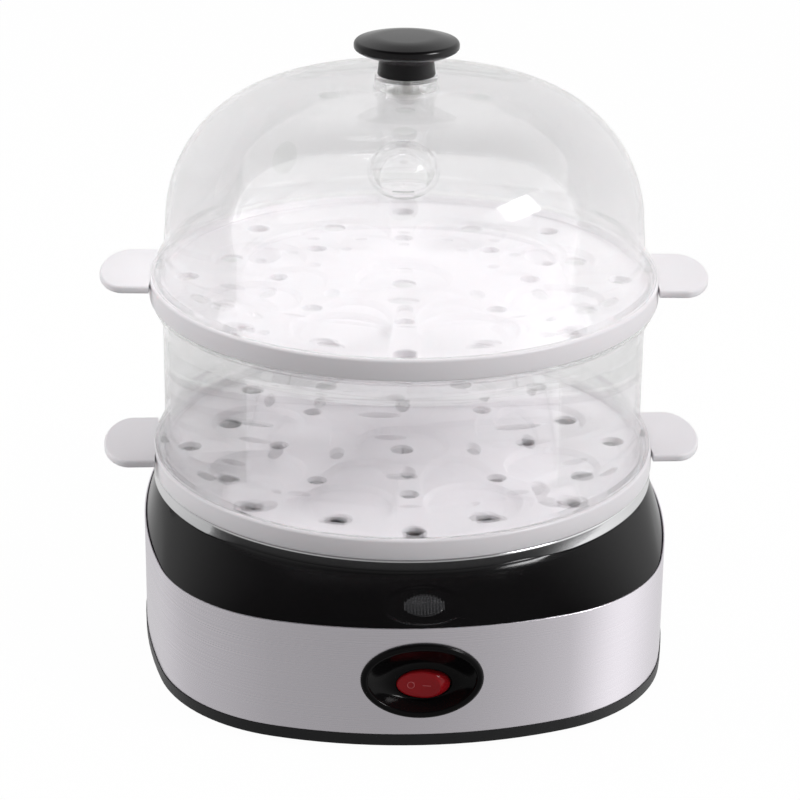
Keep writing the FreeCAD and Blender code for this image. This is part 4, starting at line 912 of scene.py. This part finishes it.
def trayMesh(name, turn, rest):
    top = tray["rimHeight"]
    plate = top - tray["plateDrop"]
    under = plate - tray["plateThick"]
    inner = tray["rimRadius"] - tray["rimWall"]
    skirt = tray["skirtRadius"]
    low = -tray["skirtDrop"]
    body = turnedMesh(name + "Body", [
        (0, plate, 0), (inner, plate, 0.8), (inner, top, 0.5), (tray["rimRadius"], top, 0.9),
        (tray["rimRadius"], 0, 0.5), (inner, 0, 0), (inner, under, 0.5), (skirt, under, 0.5),
        (skirt, low, 0.5), (skirt - tray["skirtWall"], low, 0.5), (skirt - tray["skirtWall"], under, 0.5),
        (0, under, 0)], "white_tray", 240, 20.0)
    body.transform(Matrix.Translation((0, -stackY * mm, -plate * mm)))
    helper = addObject(name + "Helper", body)
    addTree(helper, seatsAndHoles, {"Count": seatCount, "Finish": finish["white_tray"],
                                    **{label: size * mm for label, size in seatSizes.items()}})
    soft = helper.modifiers.new("softEdges", "BEVEL")
    soft.width = tray["softEdge"] * mm
    soft.segments = 2
    soft.limit_method = "ANGLE"
    soft.angle_limit = math.radians(40)
    soft.use_clamp_overlap = True
    mesh = settled(helper)
    mesh.name = name
    mesh.transform(Matrix.Translation((0, 0, plate * mm)))
    work = bmesh.new()
    work.from_mesh(mesh)
    for side in (0, 1):
        work.from_mesh(earMesh(side))
    putIn(mesh, work)
    turned = Matrix.Rotation(math.radians(turn), 4, "Z")
    mesh.transform(Matrix.Translation((0, stackY * mm, rest * mm)) @ turned)
    return tidyMesh(mesh)


trayPlaces = {"lower": {"turn": -0.7, "rest": 61.2}, "upper": {"turn": -3.5, "rest": 125.4}}
for tier, place in trayPlaces.items():
    addPiece(tier + "Tray", trayMesh(tier + "Tray", place["turn"], place["rest"]), "white_tray",
             tier + "_tray", tier + "_tray")


# Clear ring and lid
clearPart = {"wall": 2.0, "footRadius": 89.8, "footHeight": 9.0, "footEdge": 1.4, "flare": 8.0,
             "spigotDrop": 2.4, "spigotWall": 1.6, "spigotRadius": 87.9}
ringSize = {"rest": 68.6, "height": 56.8, "radius": 86.0}
lidSize = {"rest": 132.8, "height": 67.2, "baseRadius": 85.3, "shoulderRadius": 81.2, "shoulderArc": 47.0,
           "crownDrop": 1.4, "bossRadius": 11.1, "bossHeight": 4.3, "screwHole": 2.3,
           "sleeveRadius": 4.6, "bossWall": 1.3, "bubbleRadius": 12.4, "bubbleRim": 10.8,
           "bubbleWall": 1.6, "bubbleLean": 53.5, "bubbleTurn": -4.5, "slotWidth": 7.0, "slotHeight": 1.6}


def footLine(rest, radius):
    outer = clearPart["spigotRadius"]
    return [(outer - clearPart["spigotWall"], rest - clearPart["spigotDrop"], 0.4),
            (outer, rest - clearPart["spigotDrop"], 0.4), (outer, rest, 0),
            (clearPart["footRadius"], rest, 0.3),
            (clearPart["footRadius"], rest + clearPart["footEdge"], 0.6),
            (radius, rest + clearPart["footHeight"], clearPart["flare"])]


def ringMesh():
    rest, radius = ringSize["rest"], ringSize["radius"]
    top = rest + ringSize["height"]
    inner = radius - clearPart["wall"]
    foot = clearPart["footHeight"]
    corners = footLine(rest, radius) + [
        (radius, top - foot, clearPart["flare"]),
        (clearPart["footRadius"], top - clearPart["footEdge"], 0.6),
        (clearPart["footRadius"], top, 0.3), (clearPart["footRadius"] - clearPart["wall"] - 0.4, top, 0.3),
        (inner, top - foot + 1.0, clearPart["flare"]), (inner, rest + foot - 1.0, clearPart["flare"]),
        (clearPart["spigotRadius"] - clearPart["spigotWall"], rest + clearPart["footEdge"] - 0.4, 1.0)]
    return turnedMesh("steamerRing", corners, "clear_shell", 288, 6.0)


def shoulderCentre():
    radius = lidSize["shoulderRadius"]
    height = lidSize["rest"] + lidSize["height"] - lidSize["crownDrop"]
    wallLean = math.atan2(lidSize["baseRadius"] - radius, height - lidSize["rest"] - clearPart["footHeight"])
    crownLean = math.atan2(lidSize["crownDrop"], radius)
    half = (math.pi / 2 + wallLean - crownLean) / 2
    away = lidSize["shoulderArc"] / math.sin(half)
    direction = math.pi - crownLean + half
    return radius + away * math.cos(direction), height + away * math.sin(direction)


# The part of a ball that lies beyond a plane this far from its centre, facing along outward
def capMesh(name, radius, centre, outward, planeAway):
    rows = []
    start = math.acos(planeAway / radius)
    for k in range(41):
        angle = max(1e-3, start * k / 40)
        rows.append((radius * math.sin(angle), radius * math.cos(angle)))
    rows.append((1e-3, planeAway))
    mesh = welded(gridMesh(name, [[(r * math.cos(a) * mm, r * math.sin(a) * mm, z * mm)
                                   for a in evenAngles(120)] for r, z in rows]), 2e-5)
    mesh.transform(Matrix.Translation(centre * mm) @ outward.to_track_quat("Z", "Y").to_matrix().to_4x4())
    return mesh


def lidMesh():
    rest, drop, wall = lidSize["rest"], lidSize["crownDrop"], clearPart["wall"]
    apex = rest + lidSize["height"]
    cornerRadius, cornerHeight = lidSize["shoulderRadius"], apex - drop
    bossTop = apex + lidSize["bossHeight"]
    boss, hole, arc = lidSize["bossRadius"], lidSize["screwHole"], lidSize["shoulderArc"]
    sleeve, thin = lidSize["sleeveRadius"], lidSize["bossWall"]
    spigotInner = clearPart["spigotRadius"] - clearPart["spigotWall"]
    corners = footLine(rest, lidSize["baseRadius"]) + [
        (cornerRadius, cornerHeight, arc), (boss, apex - drop * boss / cornerRadius, 0.8),
        (boss, bossTop, 0.8), (hole, bossTop, 0.3), (hole, apex - wall, 0.2), (sleeve, apex - wall, 0.3),
        (sleeve, bossTop - thin, 0.4), (boss - thin, bossTop - thin, 0.4),
        (boss - thin, apex - drop * boss / cornerRadius - wall, 0.4),
        (cornerRadius - wall, cornerHeight - wall, arc - wall),
        (lidSize["baseRadius"] - wall, rest + clearPart["footHeight"] - 1.0, clearPart["flare"]),
        (spigotInner, rest + clearPart["footEdge"], 1.0)]
    body = turnedMesh("lidBody", corners, "clear_shell", 240, 4.0)
    lean, turn = math.radians(lidSize["bubbleLean"]), math.radians(-90 + lidSize["bubbleTurn"])
    centreR, centreZ = shoulderCentre()
    reach = centreR + arc * math.cos(lean)
    outward = Vector((math.cos(lean) * math.cos(turn), math.cos(lean) * math.sin(turn), math.sin(lean)))
    place = Vector((reach * math.cos(turn), reach * math.sin(turn) + stackY, centreZ + arc * math.sin(lean)))
    ball, rim = lidSize["bubbleRadius"], lidSize["bubbleRim"]
    sunk = math.sqrt(ball ** 2 - rim ** 2)
    centre = place - outward * sunk
    hollow = ball - lidSize["bubbleWall"]
    slot = centre + outward * ball * 0.62 - Vector((0, 0, rim * 0.75))
    work = bmesh.new()
    bmesh.ops.create_cube(work, size=1.0)
    size = Vector((lidSize["slotWidth"], 30.0, lidSize["slotHeight"])) * mm
    bmesh.ops.scale(work, verts=work.verts, vec=size)
    bmesh.ops.translate(work, verts=work.verts, vec=(0, -size.y / 2, 0))
    slotTool = putIn(bpy.data.meshes.new("slotTool"), work)
    turned = Matrix.Rotation(math.radians(lidSize["bubbleTurn"]), 4, "Z")
    slotTool.transform(Matrix.Translation(slot * mm) @ turned)
    mesh = worked("lid", body, [
        ("UNION", capMesh("bubble", ball, centre, outward, sunk - wall - 0.2)),
        ("DIFFERENCE", capMesh("hollow", hollow, centre, outward, -hollow * 0.9)),
        ("DIFFERENCE", slotTool)])
    return tidyMesh(mesh, 24.0)


addPiece("steamerRing", ringMesh(), "clear_shell", "steamer_ring", "steamer_ring")
addPiece("clearLid", lidMesh(), "clear_shell", "lid", "lid")


# Knob
knob = {"low": 204.3, "neckRadius": 10.2, "neckHeight": 7.4, "capRadius": 18.4, "capHeight": 5.2,
        "crown": 1.1, "edge": 1.6, "screwHole": 2.05, "holeDepth": 10.0}
capLow = knob["low"] + knob["neckHeight"]
capTop = capLow + knob["capHeight"]
crownTop = capTop + knob["crown"]
knobCorners = [
    (knob["screwHole"], knob["low"], 0), (knob["neckRadius"], knob["low"], 0.5),
    (knob["neckRadius"] - 0.8, capLow, 2.5), (knob["capRadius"] - 2.4, capLow + 0.6, 1.0),
    (knob["capRadius"], capLow + 2.0, 1.2), (knob["capRadius"], capTop - 0.6, knob["edge"]),
    (knob["capRadius"] * 0.62, crownTop, 20), (0, crownTop, 0),
    (0, knob["low"] + knob["holeDepth"], 0), (knob["screwHole"], knob["low"] + knob["holeDepth"], 0)]
knobMesh = turnedMesh("lidKnob", knobCorners, "black_gloss", 160, 6.0)
addPiece("lidKnob", knobMesh, "black_gloss", "lid", "lid_knob")


# Stage, light and camera
studio = {"floorHalf": 6.0, "floorTone": 0.93, "bounce": 0.45, "floorGlow": 0.98, "ambient": 1.12,
          "ceiling": 0.6, "mirrored": 1.4}


# 1 for rays from the camera, straight or through clear parts, that no matt surface has turned
def plainlySeen(tree, path):
    direct = mathNode(tree, "MAXIMUM", path["Is Camera Ray"], path["Is Transmission Ray"])
    return mathNode(tree, "MULTIPLY", direct, mathNode(tree, "LESS_THAN", path["Diffuse Depth"], 0.5))


# Seen straight or through the clear parts the floor is near white with a light shadow; nothing mirrors it
def floorMaterial():
    made = bpy.data.materials.new("paleFloor")
    made.use_nodes = True
    tree = made.node_tree
    tree.nodes.clear()
    path = addNode(tree, "ShaderNodeLightPath").outputs
    tones = {"Factor": path["Is Diffuse Ray"], 6: grey(studio["floorTone"]), 7: grey(studio["bounce"])}
    tone = addNode(tree, "ShaderNodeMix", tones, data_type="RGBA")
    plain = addNode(tree, "ShaderNodeBsdfDiffuse", {"Color": tone.outputs[2]})
    share = mathNode(tree, "MULTIPLY", plainlySeen(tree, path), studio["floorGlow"])
    seen = mixShaders(tree, share, plain, addNode(tree, "ShaderNodeEmission"))
    whole = mixShaders(tree, path["Is Glossy Ray"], seen, addNode(tree, "ShaderNodeBsdfTransparent"))
    addNode(tree, "ShaderNodeOutputMaterial", {"Surface": whole.outputs[0]})
    return made


floorMesh = bpy.data.meshes.new("floor")
half = studio["floorHalf"]
floorCorners = [(-half, -half, 0), (half, -half, 0), (half, half, 0), (-half, half, 0)]
floorMesh.from_pydata(floorCorners, [], [(0, 1, 2, 3)])
floorMesh.materials.append(floorMaterial())
addObject("floor", floorMesh)

# What the object mirrors, by direction: dim in front, bright on the right, paler behind, dark overhead
surround = {-180: 0.62, -135: 0.66, -108: 0.48, -72: 0.45, -28: 0.34, 8: 0.33, 40: 0.48, 64: 0.72, 86: 1.08,
            108: 0.9, 135: 0.7, 180: 0.62}
overhead = {"from": 28.0, "to": 66.0, "share": 0.05}


def studioWorld():
    world = bpy.data.worlds.new("studio")
    world.use_nodes = True
    tree = world.node_tree
    tree.nodes.clear()

    def number(operation, a, b):
        return mathNode(tree, operation, a, b)

    direction = addNode(tree, "ShaderNodeSeparateXYZ", {
        0: addNode(tree, "ShaderNodeTexCoord").outputs["Generated"]}).outputs
    angle = number("ARCTAN2", direction["X"], number("MULTIPLY", direction["Y"], -1.0))
    ramp = addNode(tree, "ShaderNodeValToRGB", {"Fac": number("ADD", number("DIVIDE", angle, math.tau), 0.5)})
    ramp.color_ramp.interpolation = "B_SPLINE"
    stops = ramp.color_ramp.elements
    while len(stops) < len(surround):
        stops.new(0.5)
    for stop, (degrees, value) in zip(stops, surround.items()):
        stop.position = degrees / 360 + 0.5
        stop.color = grey(value)
    fade = addNode(tree, "ShaderNodeMapRange", {
        "Value": number("ARCSINE", direction["Z"], 0.0), "From Min": math.radians(overhead["from"]),
        "From Max": math.radians(overhead["to"]), "To Min": 1.0, "To Max": overhead["share"]},
        interpolation_type="SMOOTHSTEP").outputs["Result"]
    path = addNode(tree, "ShaderNodeLightPath").outputs
    around = ramp.outputs["Color"]
    mirrored = number("MULTIPLY", number("MULTIPLY", around, fade), studio["mirrored"])
    ceiling = number("ADD", number("MULTIPLY", fade, 1 - studio["ceiling"]), studio["ceiling"])
    diffuse = number("MULTIPLY", number("MULTIPLY", around, ceiling), studio["ambient"])
    glossy = path["Is Glossy Ray"]
    share = number("ADD", number("MULTIPLY", mirrored, glossy),
                   number("MULTIPLY", diffuse, number("SUBTRACT", 1.0, glossy)))
    strength = number("MAXIMUM", share, plainlySeen(tree, path))
    light = addNode(tree, "ShaderNodeBackground", {"Strength": strength})
    addNode(tree, "ShaderNodeOutputWorld", {"Surface": light.outputs[0]})
    bpy.context.scene.world = world


studioWorld()

lamps = {
    "topSoftbox": {"place": (0.15, 0.25, 1.45), "size": (1.0, 0.9), "power": 0.8, "mirrored": False},
    "rightSoftbox": {"place": (0.95, -0.5, 0.95), "size": (0.4, 0.3), "power": 8.0, "mirrored": True},
    "leftSoftbox": {"place": (-1.2, 0.25, 0.75), "size": (0.8, 1.2), "power": 10.0, "mirrored": False},
    "backSoftbox": {"place": (-0.05, 0.75, 1.25), "size": (0.3, 0.16), "power": 1.2, "mirrored": False},
}
aim = Vector((0, 0, 0.1))
for name, look in lamps.items():
    lightData = bpy.data.lights.new(name, "AREA")
    lightData.shape = "RECTANGLE"
    lightData.size, lightData.size_y = look["size"]
    lightData.energy = look["power"]
    light = bpy.data.objects.new(name, lightData)
    bpy.context.scene.collection.objects.link(light)
    light.location = look["place"]
    light.rotation_euler = (aim - light.location).to_track_quat("-Z", "Y").to_euler()
    light.visible_glossy = look["mirrored"]

shot = {"azimuth": -4.02, "elevation": 20.36, "distance": 0.94, "target": (0.0, 0.0046, 0.112), "roll": 0.66,
        "focalShare": 3.271, "targetPixel": (403.57, 323.64), "frameSize": 800}
azimuth, elevation = math.radians(shot["azimuth"]), math.radians(shot["elevation"])
roll = math.radians(shot["roll"])
level = Vector((math.cos(azimuth), math.sin(azimuth), 0.0))
outward = Vector((level.y, -level.x, 0.0))
back = outward * math.cos(elevation) + Vector((0.0, 0.0, math.sin(elevation)))
upward = back.cross(level)
right = level * math.cos(roll) + upward * math.sin(roll)
upward = back.cross(right)
camera = bpy.data.objects.new("camera", bpy.data.cameras.new("camera"))
bpy.context.scene.collection.objects.link(camera)
turned = Matrix((right, upward, back)).transposed().to_4x4()
camera.matrix_world = Matrix.Translation(Vector(shot["target"]) + back * shot["distance"]) @ turned
camera.data.sensor_width = 36.0
camera.data.lens = 36.0 * shot["focalShare"]
camera.data.shift_x = 0.5 - shot["targetPixel"][0] / shot["frameSize"]
camera.data.shift_y = shot["targetPixel"][1] / shot["frameSize"] - 0.5
camera.data.clip_start = 0.05
camera.data.clip_end = 30.0
bpy.context.scene.camera = camera
bpy.context.scene.view_settings.view_transform = "Standard"
print("studio ready")
